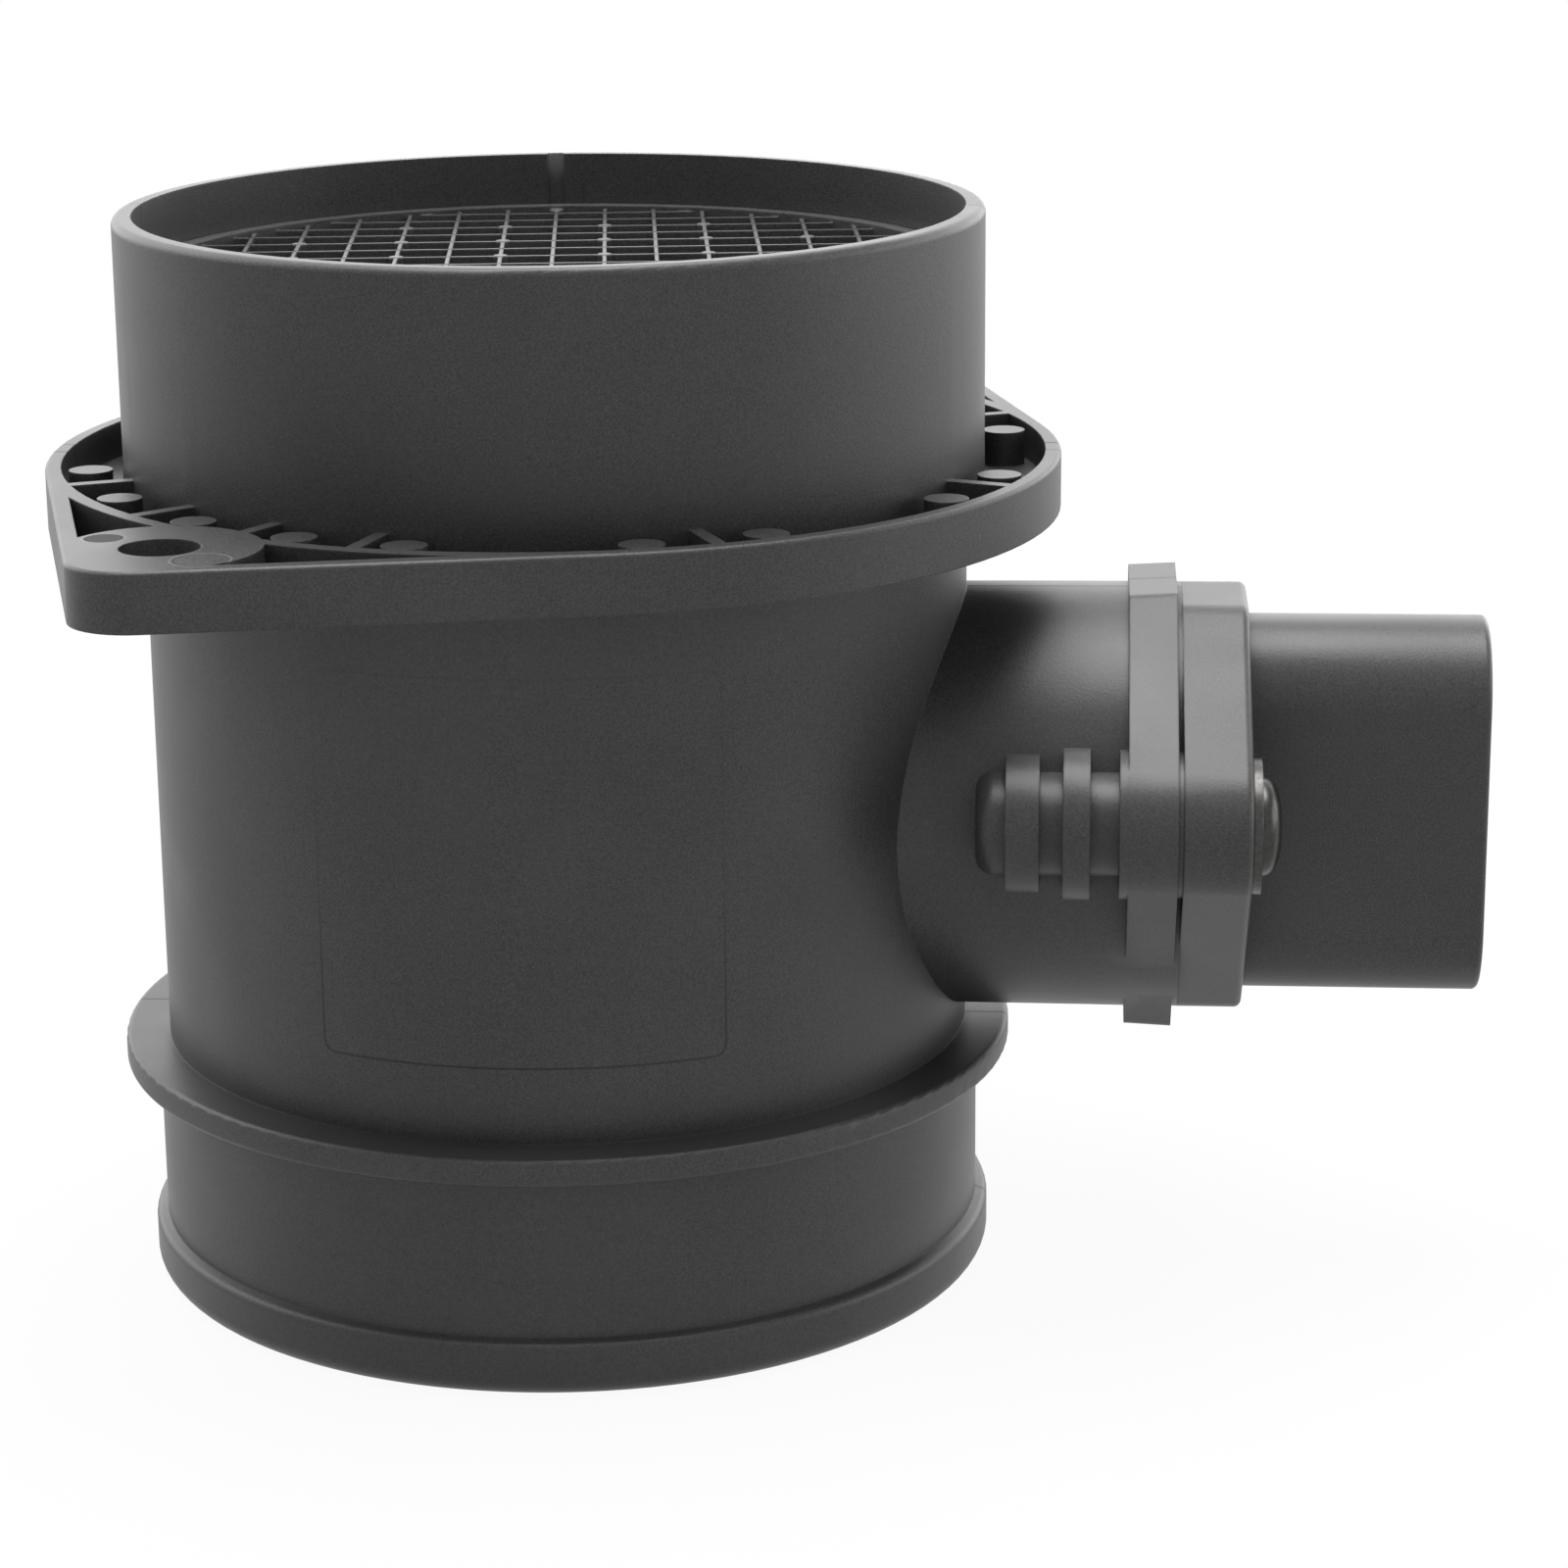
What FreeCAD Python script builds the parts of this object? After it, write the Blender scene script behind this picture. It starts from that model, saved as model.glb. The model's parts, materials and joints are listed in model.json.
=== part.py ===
"""Mass airflow sensor: a moulded flow tube with a plug-in hot-film sensor held by two screws.

Sizes are millimetres. +Z runs along the tube from its outlet end up to its inlet end, and +X along
the axis of the sensor socket. The origin is on the tube's axis, in the plane of the outlet end.
"""
import FreeCAD
import Part
import math
import os

V = FreeCAD.Vector
ORIGIN = V(0, 0, 0)
X_AXIS = V(1, 0, 0)
Y_AXIS = V(0, 1, 0)
Z_AXIS = V(0, 0, 1)

# Flow tube, from the outlet end to the inlet rim
TUBE_LENGTH = 100.95
WALL = 3.0
INLET_WALL = 1.8         # thinner wall of the inlet spigot, above the grid's seat
SPIGOT_R = 40.0          # inlet spigot, outside
BODY_R = 38.35           # plain body between the flange and the stop ring
OUTLET_R = 39.4          # outlet spigot, outside
OUTLET_FLARE = 0.8       # how much wider the bore is at the outlet than at the sensor
BEAD_R = 40.5
BEAD_HEIGHT = 5.0
BEAD_SLOPE = 0.4         # height of the step down to the outlet spigot
BEAD_ROUND = 1.9         # lead-in for the hose
BEAD_TOP_ROUND = 0.8
STOP_RING_R = 42.5
STOP_RING_Z = 20.75      # underside of the ring that stops the outlet hose
STOP_RING_T = 2.55
STOP_RING_ROUND = 0.6
RIM_ROUND = 0.8          # outer edge of the inlet rim

# Two-bolt flange with an open ring of ribs round the inlet spigot
FLANGE_TOP_Z = 78.3
FLANGE_T = 5.25
FLANGE_R = 47.1
FLANGE_WALL = 1.45       # upright wall at the rim
FLANGE_FLOOR = 1.8
POCKET_DRAFT = 0.1       # the spigot's root is this much thicker at the pocket's floor
FLANGE_ROUND = 0.4       # edge radius of the rim's top
BOLT_CIRCLE_R = 52.6
BOLT_ANGLE = 58.3
BOLT_HOLE_R = 3.45
BOLT_BOSS_R = 8.7
LOBE_R = 5.9             # rounded corner of each lobe
LOBE_REACH = 56.4        # tube axis to the centre of that corner
LOBE_ANGLE = 59.2
LOBE_WALL = 1.6
RIB_T = 1.3
RIB_ANGLES = (24.3, 44.2, 60.4, 75.5, 114.5, 158.8)
PAD_R = 2.0              # round ejector pads that stand in the pocket
PAD_CIRCLE_R = 42.95
PAD_DROP = 0.2
PAD_ANGLES = (14.8, 33.2, 50.6, 66.2, 80.0, 106.8, 121.6, 150.0, 165.6)

# Flow grid below the inlet rim
GRID_DROP = 5.0          # rim to the top of the grid's ring
GRID_RING_H = 5.0
GRID_RING_T = 1.6
GRID_CLEARANCE = 0.12
GRID_PITCH = 4.68
GRID_BAR_T = 0.45
GRID_BAR_H = 4.0
GRID_BAR_DROP = 0.4      # ring top to bar top
GRID_TURN = 6.5          # the grid is turned from the sensor's axis
GRID_PIN_R = 0.72        # round pads where every second pair of bars crosses
GRID_PIN_DROP = 0.15     # bar top to pad top
GRID_PIN_H = 2.0
GRID_KEY_W = 1.6
GRID_KEY_DEPTH = 0.6

# Sensor socket on the side of the tube
SOCKET_Z = 45.35
SOCKET_R = 20.05
SOCKET_WALL = 3.0
SOCKET_TAPER = 0.25      # the socket is this much slimmer at the tube's axis
SOCKET_FACE_X = 53.5     # where the socket's flange begins
SOCKET_FLANGE_T = 4.4
SOCKET_FLANGE_HALF_H = 20.95
SOCKET_FLANGE_FLAT = 7.0  # half width of its flat top and bottom
SOCKET_FLANGE_CORNER = 2.0
SOCKET_FLANGE_DRAFT = 0.22
LAND_T = 0.5             # raised seat for the plug-in sensor

# Screws and the ribbed bosses that take them
SCREW_Y = 21.4
SCREW_RISE = 3.1         # the front screw sits above the sensor's axis, the rear one below it
SCREW_PAD_R = 6.9        # rounded points of both flanges
SCREW_R = 2.4
SCREW_HOLE_CLEARANCE = 0.35
SCREW_LENGTH = 22.0
SCREW_HEAD_R = 4.6
SCREW_HEAD_H = 1.9
SCREW_HEAD_EDGE = 1.0    # upright edge below the dome
SCREW_POINT = 1.0        # length of the tapered end
SCREW_POINT_R = 1.6
SCREW_RECESS_R = 1.9
SCREW_RECESS_DEPTH = 1.2
SCREW_RECESS_PIN_R = 0.55
WASHER_R = 6.1
WASHER_T = 0.8
WASHER_CLEARANCE = 0.2
BOSS_R = 4.65
BOSS_LENGTH = 13.6
BOSS_ROUND = 1.6
BOSS_RINGS = ((0.0, 0.8, 6.7), (3.4, 2.4, 6.8), (7.9, 3.0, 6.2))  # distance from the flange, width, radius

# Plug-in sensor: flange, neck and connector
PLUG_FLANGE_T = 6.1
PLUG_FLANGE_HALF_H = 19.5
PLUG_FLANGE_FLAT = 6.0
PLUG_FLANGE_CORNER = 5.0
PLUG_FLANGE_EDGE = 0.7
NECK_CLEARANCE = 0.1
NECK_LENGTH = 21.9       # plug flange to the end of the neck in the duct wall
NECK_CORE_DEPTH = 9.0    # side pockets that core the neck out
NECK_CORE_WALL = 2.2
SEAL_SECTION_R = 1.2
SEAL_GROOVE_W = 2.9
SEAL_SETBACK = 6.5       # plug flange to the middle of the seal groove
SEAL_CLEARANCE = 0.05
SHROUD_HALF_H = 17.9
SHROUD_HALF_W = 7.8
SHROUD_END_R = 7.4       # round ends of the connector
SHROUD_DROP = 0.6        # the connector sits this far below the sensor's axis
SHROUD_LENGTH = 22.3
SHROUD_WALL = 2.0
SHROUD_FLOOR = 4.0
SHROUD_EDGE = 0.6
LATCH_W = 6.0
LATCH_L = 5.0
LATCH_H = 1.3
LATCH_ROUND = 0.4
LATCH_SETBACK = 6.0      # connector mouth to the latch's step
GUIDE_W = 1.2            # guide ribs in the connector's cavity
GUIDE_H = 0.8
GUIDE_SPAN = 17.0

# Wing that reaches into the air stream
WING_HALF_W = 6.5
WING_HALF_H = 14.5
WING_NOSE = 5.0
WING_TAIL_ROUND = 2.0
WING_TIP_X = -11.0
WING_TIP_ROUND = 0.8
COVER_T = 1.3
COVER_LEDGE = 1.2
COVER_GAP = 0.08
COVER_CORNER = 1.5

# Bypass channel in the wing: down from the mouth, round a bend, up past the sensing chip
CHANNEL_W = 6.0
CHANNEL_MOUTH_X = -5.5
CHANNEL_BEND_R = 5.9
CHANNEL_BEND_Z = -1.5
CHANNEL_END_Z = 6.5
CHANNEL_FLOOR_Y = 4.0
CHANNEL_DRAIN_W = 2.0
CHANNEL_WINDOW_L = 3.8
CHANNEL_WINDOW_INSET = 0.5
CHANNEL_WINDOW_ROUND = 0.6
CHANNEL_COVER_TOP_Z = 8.6
CHANNEL_COVER_BOTTOM_Z = -12.3

# Electronics chamber and what it holds
CHAMBER_X0 = 13.5
CHAMBER_LENGTH = 21.0
CHAMBER_TOP_Z = 7.6
CHAMBER_BOTTOM_Z = -11.0
CHAMBER_FLOOR_Y = 1.0
CHAMBER_CORNER = 1.0
PLATE_T = 1.0
PLATE_GAP = 0.3
PLATE_LENGTH = 17.2
TONGUE_W = 4.4
TONGUE_Z = -1.0
TONGUE_REACH = 8.6       # from the chamber into the channel
TONGUE_SLOT_GAP = 0.15
CHIP_L = 2.6
CHIP_W = 3.4
CHIP_T = 0.4
CHIP_SETBACK = 0.7
BOARD_T = 0.7
BOARD_MARGIN = 0.8
BOARD_CORNER = 0.3
BOARD_CHIPS = ((5.8, 3.4, 4.6, 4.6, 1.1), (12.2, -3.6, 5.2, 4.2, 1.0), (6.0, -3.8, 2.4, 1.4, 0.7),
               (12.6, 3.8, 3.0, 3.0, 0.8), (8.8, -0.2, 1.6, 0.9, 0.5), (8.8, 6.2, 1.6, 0.9, 0.5))

# Connector pins
PIN_COUNT = 5
PIN_W = 1.5
PIN_T = 0.8
PIN_PITCH = 4.8
PIN_INNER_PITCH = 3.0
PIN_INNER_Z = -1.7
PIN_REACH = 11.5         # free length in the connector
PIN_TAPER = 1.2
PIN_PAD_L = 2.6          # bonding pad inside the chamber
PIN_BEND_X0 = 47.0
PIN_BEND_X1 = 56.0
BOND_WIRE_R = 0.15
BOND_WIRE_RISE = 1.1
BOND_FOOT = 0.6          # wire's foot from the board's edge

# Air temperature probe on the wing's rear face
PROBE_X = 24.0
PROBE_SPREAD = 5.0       # each lead from the sensor's axis
PROBE_STANDOFF = 2.8
PROBE_ROOT = 2.5
PROBE_LEAD_R = 0.3
PROBE_BEND_R = 1.0
PROBE_BEAD_R = 1.2
PROBE_BEAD_L = 3.8

# Pockets that core out the wing's rear face
WING_CORE_DEPTH = 3.0
WING_CORE_L = 4.0
WING_CORE_H = 5.2
WING_CORE_RIB = 1.6      # between the two rows
WING_CORE_COLUMNS = (16.0, 30.5)

# Places that follow from the sizes above
INLET_BORE_R = SPIGOT_R - INLET_WALL
THROAT_R = BODY_R - WALL
OUTLET_BORE_R = THROAT_R + OUTLET_FLARE
GRID_TOP_Z = TUBE_LENGTH - GRID_DROP
GRID_SEAT_Z = GRID_TOP_Z - GRID_RING_H
FLANGE_BOTTOM_Z = FLANGE_TOP_Z - FLANGE_T
POCKET_FLOOR_Z = FLANGE_BOTTOM_Z + FLANGE_FLOOR
SOCKET_BORE_R = SOCKET_R - SOCKET_WALL
LAND_X = SOCKET_FACE_X + SOCKET_FLANGE_T
PLUG_X = LAND_X + LAND_T
SHROUD_X = PLUG_X + PLUG_FLANGE_T
MOUTH_X = SHROUD_X + SHROUD_LENGTH
CAVITY_X = SHROUD_X + SHROUD_FLOOR
NECK_R = SOCKET_BORE_R - NECK_CLEARANCE
NECK_X = PLUG_X - NECK_LENGTH
CHANNEL_RETURN_X = CHANNEL_MOUTH_X + 2 * CHANNEL_BEND_R
COVER_FACE_Y = -WING_HALF_W + COVER_T
CHAMBER_X1 = CHAMBER_X0 + CHAMBER_LENGTH
PLATE_TOP_Y = CHAMBER_FLOOR_Y - PLATE_T
BOARD_TOP_Y = PLATE_TOP_Y - BOARD_T
HEAD_X = SHROUD_X + WASHER_T


def flat(u, v):
    """A point of an outline that lies in the XY plane."""
    return V(u, v, 0)


def radial(u, v):
    """A point of an outline in the plane through the tube's axis: radius and height."""
    return V(u, 0, v)


def facing_x(x):
    """Outlines across the sensor's axis: sideways and up from that axis, at a distance x."""
    return lambda u, v: V(x, u, SOCKET_Z + v)


def facing_y(y):
    """Outlines in the wing's side faces: along the sensor's axis and up from it, at a depth y."""
    return lambda u, v: V(u, y, SOCKET_Z + v)


def rounded_wire(corners, place=flat):
    """Closed outline through (u, v, radius) corners, each rounded by a tangent arc."""
    edges = []
    ends = []
    count = len(corners)
    for i in range(count):
        before = V(*corners[i - 1][:2], 0)
        here = V(*corners[i][:2], 0)
        after = V(*corners[(i + 1) % count][:2], 0)
        radius = corners[i][2]
        if radius <= 0:
            ends.append((here, None, here))
            continue
        back = (before - here).normalize()
        ahead = (after - here).normalize()
        half = back.getAngle(ahead) / 2
        middle = (back + ahead).normalize()
        reach = radius / math.tan(half)
        crown = here + middle * (radius / math.sin(half) - radius)
        ends.append((here + back * reach, crown, here + ahead * reach))
    for i in range(count):
        start, crown, stop = ends[i]
        if crown is not None:
            arc = Part.Arc(place(start.x, start.y), place(crown.x, crown.y), place(stop.x, stop.y))
            edges.append(arc.toShape())
        following = ends[(i + 1) % count][0]
        if stop.distanceToPoint(following) > 1e-6:
            edges.append(Part.makeLine(place(stop.x, stop.y), place(following.x, following.y)))
    return Part.Wire(edges)


def slab(wire, direction):
    """Solid made by moving a closed outline along a direction."""
    return Part.Face(wire).extrude(direction)


def rectangle(u0, u1, v0, v1, radius):
    """Corners of a rectangle, all rounded alike."""
    return [(u0, v0, radius), (u1, v0, radius), (u1, v1, radius), (u0, v1, radius)]


def half_turned(shape, centre, axis):
    """The same shape turned half way round an axis."""
    other = shape.copy()
    other.rotate(centre, axis, 180)
    return other


def hull_of_circles(c0, r0, c1, r1):
    """Outline round two circles, with their outer tangents as straight sides."""
    line = c1 - c0
    heading = math.atan2(line.y, line.x)
    lean = math.acos((r0 - r1) / line.Length)

    def on_circle(centre, radius, angle):
        return centre + V(radius * math.cos(angle), radius * math.sin(angle), 0)

    left = heading + lean
    right = heading - lean
    near = Part.Arc(on_circle(c0, r0, left), on_circle(c0, r0, heading + math.pi), on_circle(c0, r0, right))
    far = Part.Arc(on_circle(c1, r1, right), on_circle(c1, r1, heading), on_circle(c1, r1, left))
    side_a = Part.makeLine(on_circle(c0, r0, right), on_circle(c1, r1, right))
    side_b = Part.makeLine(on_circle(c1, r1, left), on_circle(c0, r0, left))
    return Part.Wire([near.toShape(), side_a, far.toShape(), side_b])


def polar(radius, angle, z=0.0):
    """Point at a radius and an angle in degrees round the tube's axis."""
    turn = math.radians(angle)
    return V(radius * math.cos(turn), radius * math.sin(turn), z)


def tube_shell():
    """Wall of the flow tube turned round its axis: bead, spigots, stop ring and grid seat."""
    step_z = (FLANGE_BOTTOM_Z + POCKET_FLOOR_Z) / 2
    profile = [
        (OUTLET_BORE_R, 0, 0),
        (BEAD_R, 0, BEAD_ROUND),
        (BEAD_R, BEAD_HEIGHT, BEAD_TOP_ROUND),
        (OUTLET_R, BEAD_HEIGHT + BEAD_SLOPE, 0),
        (OUTLET_R, STOP_RING_Z, 0),
        (STOP_RING_R, STOP_RING_Z, STOP_RING_ROUND),
        (STOP_RING_R, STOP_RING_Z + STOP_RING_T, STOP_RING_ROUND),
        (BODY_R, STOP_RING_Z + STOP_RING_T, 0),
        (BODY_R, step_z, 0),
        (SPIGOT_R, step_z, 0),
        (SPIGOT_R, TUBE_LENGTH, RIM_ROUND),
        (INLET_BORE_R, TUBE_LENGTH, 0),
        (INLET_BORE_R, GRID_SEAT_Z, 0),
        (THROAT_R, GRID_SEAT_Z, 0),
        (THROAT_R, SOCKET_Z - SOCKET_R, 0),
    ]
    return Part.Face(rounded_wire(profile, radial)).revolve(ORIGIN, Z_AXIS, 360)


def flange_blank(rim_r, lobe_r, bottom, height):
    """Round plate with a bolt lobe on each side, the second one half a turn from the first."""
    corner = polar(LOBE_REACH, LOBE_ANGLE)
    lobe = slab(hull_of_circles(ORIGIN, rim_r, corner, lobe_r), V(0, 0, height))
    plate = lobe.fuse(half_turned(lobe, ORIGIN, Z_AXIS)).removeSplitter()
    plate.translate(V(0, 0, bottom))
    return plate


def bolt_flange():
    """The two-bolt flange: rim wall, floor, ribs, bolt bosses, core-outs and ejector pads."""
    plate = flange_blank(FLANGE_R, LOBE_R, FLANGE_BOTTOM_Z, FLANGE_T)
    edges = [e for e in plate.Edges if abs(e.CenterOfMass.z - FLANGE_TOP_Z) < 0.01]
    plate = plate.makeFillet(FLANGE_ROUND, edges)
    depth = FLANGE_TOP_Z - POCKET_FLOOR_Z
    start = V(0, 0, POCKET_FLOOR_Z)
    pocket = Part.makeCylinder(FLANGE_R - FLANGE_WALL, depth, start)
    core = flange_blank(FLANGE_R - LOBE_WALL, LOBE_R - LOBE_WALL, POCKET_FLOOR_Z, depth)
    core = core.cut(Part.makeCylinder(FLANGE_R, depth, start))
    keep = [Part.makeCone(SPIGOT_R + POCKET_DRAFT, SPIGOT_R, depth, start)]
    for angle in (BOLT_ANGLE, BOLT_ANGLE + 180):
        keep.append(Part.makeCylinder(BOLT_BOSS_R, depth, polar(BOLT_CIRCLE_R, angle, POCKET_FLOOR_Z)))
    for angle in RIB_ANGLES:
        for turn in (0, 180):
            rib = Part.makeBox(FLANGE_R - BODY_R, RIB_T, depth, V(BODY_R, -RIB_T / 2, POCKET_FLOOR_Z))
            rib.rotate(ORIGIN, Z_AXIS, angle + turn)
            keep.append(rib)
    for angle in PAD_ANGLES:
        for turn in (0, 180):
            centre = polar(PAD_CIRCLE_R, angle + turn, POCKET_FLOOR_Z)
            keep.append(Part.makeCylinder(PAD_R, depth - PAD_DROP, centre))
    solid_core = keep[0].multiFuse(keep[1:])
    plate = plate.cut(pocket.fuse(core).cut(solid_core))
    for angle in (BOLT_ANGLE, BOLT_ANGLE + 180):
        plate = plate.cut(Part.makeCylinder(BOLT_HOLE_R, FLANGE_T, polar(BOLT_CIRCLE_R, angle, FLANGE_BOTTOM_Z)))
    return plate.cut(Part.makeCylinder(BODY_R, FLANGE_T, V(0, 0, FLANGE_BOTTOM_Z)))


def outer_corner(top, bottom, centre, radius):
    """Where the tangents from two points to the far side of a circle meet."""
    lines = []
    for point, side in ((top, -1), (bottom, 1)):
        away = centre - point
        turn = math.atan2(away.y, away.x) + side * math.asin(radius / away.Length)
        lines.append((point, V(math.cos(turn), math.sin(turn), 0)))
    (p, d), (q, e) = lines
    along = ((q - p).x * e.y - (q - p).y * e.x) / (d.x * e.y - d.y * e.x)
    return p + d * along


def pointed_outline(half_h, flat_half, corner_r, pad_r):
    """Corners of a flange with flat ends and a rounded point at each screw."""
    front = V(-SCREW_Y, SCREW_RISE, 0)
    tip = outer_corner(V(-flat_half, half_h, 0), V(-flat_half, -half_h, 0), front, pad_r)
    half = [(flat_half, half_h, corner_r), (-flat_half, half_h, corner_r), (tip.x, tip.y, pad_r)]
    return half + [(-u, -v, r) for u, v, r in half]


def both_screws():
    """Sideways and upward place of the front and the rear screw."""
    return ((-SCREW_Y, SCREW_RISE), (SCREW_Y, -SCREW_RISE))


def rod_x(radius, x0, x1, y=0.0, rise=0.0):
    """Cylinder along the sensor's axis."""
    return Part.makeCylinder(radius, x1 - x0, V(x0, y, SOCKET_Z + rise), X_AXIS)


def screw_boss(y, rise):
    """Boss under the socket's flange with three stiffening rings and a rounded end."""
    profile = [
        (0, SOCKET_FACE_X, 0),
        (0, SOCKET_FACE_X - BOSS_LENGTH, 0),
        (BOSS_R, SOCKET_FACE_X - BOSS_LENGTH, BOSS_ROUND),
        (BOSS_R, SOCKET_FACE_X, 0),
    ]
    wire = rounded_wire(profile, lambda u, v: V(v, y, SOCKET_Z + rise + u))
    boss = Part.Face(wire).revolve(V(0, y, SOCKET_Z + rise), X_AXIS, 360)
    rings = []
    for distance, width, ring_r in BOSS_RINGS:
        x1 = SOCKET_FACE_X - distance
        rings.append(rod_x(ring_r, x1 - width, x1, y, rise))
    return boss.multiFuse(rings)


def sensor_socket():
    """Round socket, its pointed flange, the raised seat and the two screw bosses."""
    parts = [Part.makeCone(SOCKET_R - SOCKET_TAPER, SOCKET_R, SOCKET_FACE_X, V(0, 0, SOCKET_Z), X_AXIS)]
    near = pointed_outline(SOCKET_FLANGE_HALF_H - SOCKET_FLANGE_DRAFT, SOCKET_FLANGE_FLAT,
                           SOCKET_FLANGE_CORNER, SCREW_PAD_R - SOCKET_FLANGE_DRAFT)
    far = pointed_outline(SOCKET_FLANGE_HALF_H, SOCKET_FLANGE_FLAT, SOCKET_FLANGE_CORNER, SCREW_PAD_R)
    wires = [rounded_wire(near, facing_x(SOCKET_FACE_X)), rounded_wire(far, facing_x(LAND_X))]
    parts.append(Part.makeLoft(wires, True, True))
    parts.append(rod_x(SOCKET_R, SOCKET_FACE_X, PLUG_X))
    for y, rise in both_screws():
        parts.append(screw_boss(y, rise))
        parts.append(rod_x(SCREW_PAD_R - SCREW_HOLE_CLEARANCE, SOCKET_FACE_X, PLUG_X, y, rise))
    return parts[0].multiFuse(parts[1:])


def tube_housing():
    """The whole flow tube, one moulding."""
    blank = tube_shell().multiFuse([bolt_flange(), sensor_socket()])
    duct = Part.makeCylinder(THROAT_R, 2 * SOCKET_R, V(0, 0, SOCKET_Z - SOCKET_R))
    blank = blank.cut(duct)
    blank = blank.cut(rod_x(SOCKET_BORE_R, 0, PLUG_X))
    for y, rise in both_screws():
        blank = blank.cut(rod_x(SCREW_R, HEAD_X - SCREW_LENGTH, PLUG_X, y, rise))
    groove_h = TUBE_LENGTH - GRID_SEAT_Z
    groove = Part.makeBox(GRID_KEY_W, GRID_KEY_DEPTH + INLET_BORE_R / 2, groove_h,
                          V(-GRID_KEY_W / 2, INLET_BORE_R / 2, GRID_SEAT_Z))
    groove.rotate(ORIGIN, Z_AXIS, GRID_TURN)
    return blank.cut(groove).removeSplitter()


def flow_grid():
    """Flow grid: a keyed ring carrying a square lattice of thin upright plates."""
    outer_r = INLET_BORE_R - GRID_CLEARANCE
    inner_r = outer_r - GRID_RING_T
    ring = Part.makeCylinder(outer_r, GRID_RING_H, V(0, 0, GRID_SEAT_Z))
    ring = ring.cut(Part.makeCylinder(inner_r, GRID_RING_H, V(0, 0, GRID_SEAT_Z)))
    bars_top = GRID_TOP_Z - GRID_BAR_DROP
    base = bars_top - GRID_BAR_H
    reach = int(inner_r // GRID_PITCH)
    along_x = []
    along_y = []
    for i in range(-reach, reach + 1):
        place = i * GRID_PITCH - GRID_BAR_T / 2
        along_x.append(Part.makeBox(2 * outer_r, GRID_BAR_T, GRID_BAR_H, V(-outer_r, place, base)))
        along_y.append(Part.makeBox(GRID_BAR_T, 2 * outer_r, GRID_BAR_H, V(place, -outer_r, base)))
    pins = grid_pins(reach, inner_r, bars_top - GRID_PIN_DROP)
    lattice = along_x[0].multiFuse(along_x[1:] + along_y + pins)
    lattice = lattice.common(Part.makeCylinder((inner_r + outer_r) / 2, GRID_BAR_H, V(0, 0, base)))
    key_reach = GRID_KEY_DEPTH + GRID_RING_T / 2
    key = Part.makeBox(GRID_KEY_W - 2 * GRID_CLEARANCE, key_reach, GRID_RING_H,
                       V(-GRID_KEY_W / 2 + GRID_CLEARANCE, outer_r - GRID_RING_T / 2, GRID_SEAT_Z))
    grid = ring.multiFuse([lattice, key])
    grid.rotate(ORIGIN, Z_AXIS, GRID_TURN)
    return grid.removeSplitter()


def grid_pins(reach, inner_r, top):
    """Round ejector pads at every second crossing each way, inside the ring."""
    pins = []
    for i in range(1 - reach, reach, 2):
        for j in range(1 - reach, reach, 2):
            place = V(i * GRID_PITCH, j * GRID_PITCH, top - GRID_PIN_H)
            if math.hypot(place.x, place.y) < inner_r - GRID_PITCH / 2:
                pins.append(Part.makeCylinder(GRID_PIN_R, GRID_PIN_H, place))
    return pins


def wing_wire(x):
    """Section of the wing: an elliptic nose towards the inlet and a squarer tail."""
    nose_z = SOCKET_Z + WING_HALF_H - WING_NOSE
    tail_z = SOCKET_Z - WING_HALF_H
    width = WING_HALF_W
    turn = WING_TAIL_ROUND
    cut = turn * (1 - math.sqrt(0.5))
    centre = V(x, 0, nose_z)
    nose = Part.Ellipse(V(x, width, nose_z), V(x, 0, nose_z + WING_NOSE), centre)
    edges = [Part.ArcOfEllipse(nose, 0, math.pi).toShape()]
    edges.append(Part.makeLine(V(x, -width, nose_z), V(x, -width, tail_z + turn)))
    edges.append(Part.Arc(V(x, -width, tail_z + turn), V(x, -width + cut, tail_z + cut),
                          V(x, -width + turn, tail_z)).toShape())
    edges.append(Part.makeLine(V(x, -width + turn, tail_z), V(x, width - turn, tail_z)))
    edges.append(Part.Arc(V(x, width - turn, tail_z), V(x, width - cut, tail_z + cut),
                          V(x, width, tail_z + turn)).toShape())
    edges.append(Part.makeLine(V(x, width, tail_z + turn), V(x, width, nose_z)))
    return Part.Wire(Part.__sortEdges__(edges))


def shroud_corners(inset):
    """Outline of the connector: flat sides and round ends."""
    u = SHROUD_HALF_W - inset
    v = SHROUD_HALF_H - inset
    return rectangle(-u, u, -v - SHROUD_DROP, v - SHROUD_DROP, SHROUD_END_R - inset)


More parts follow.
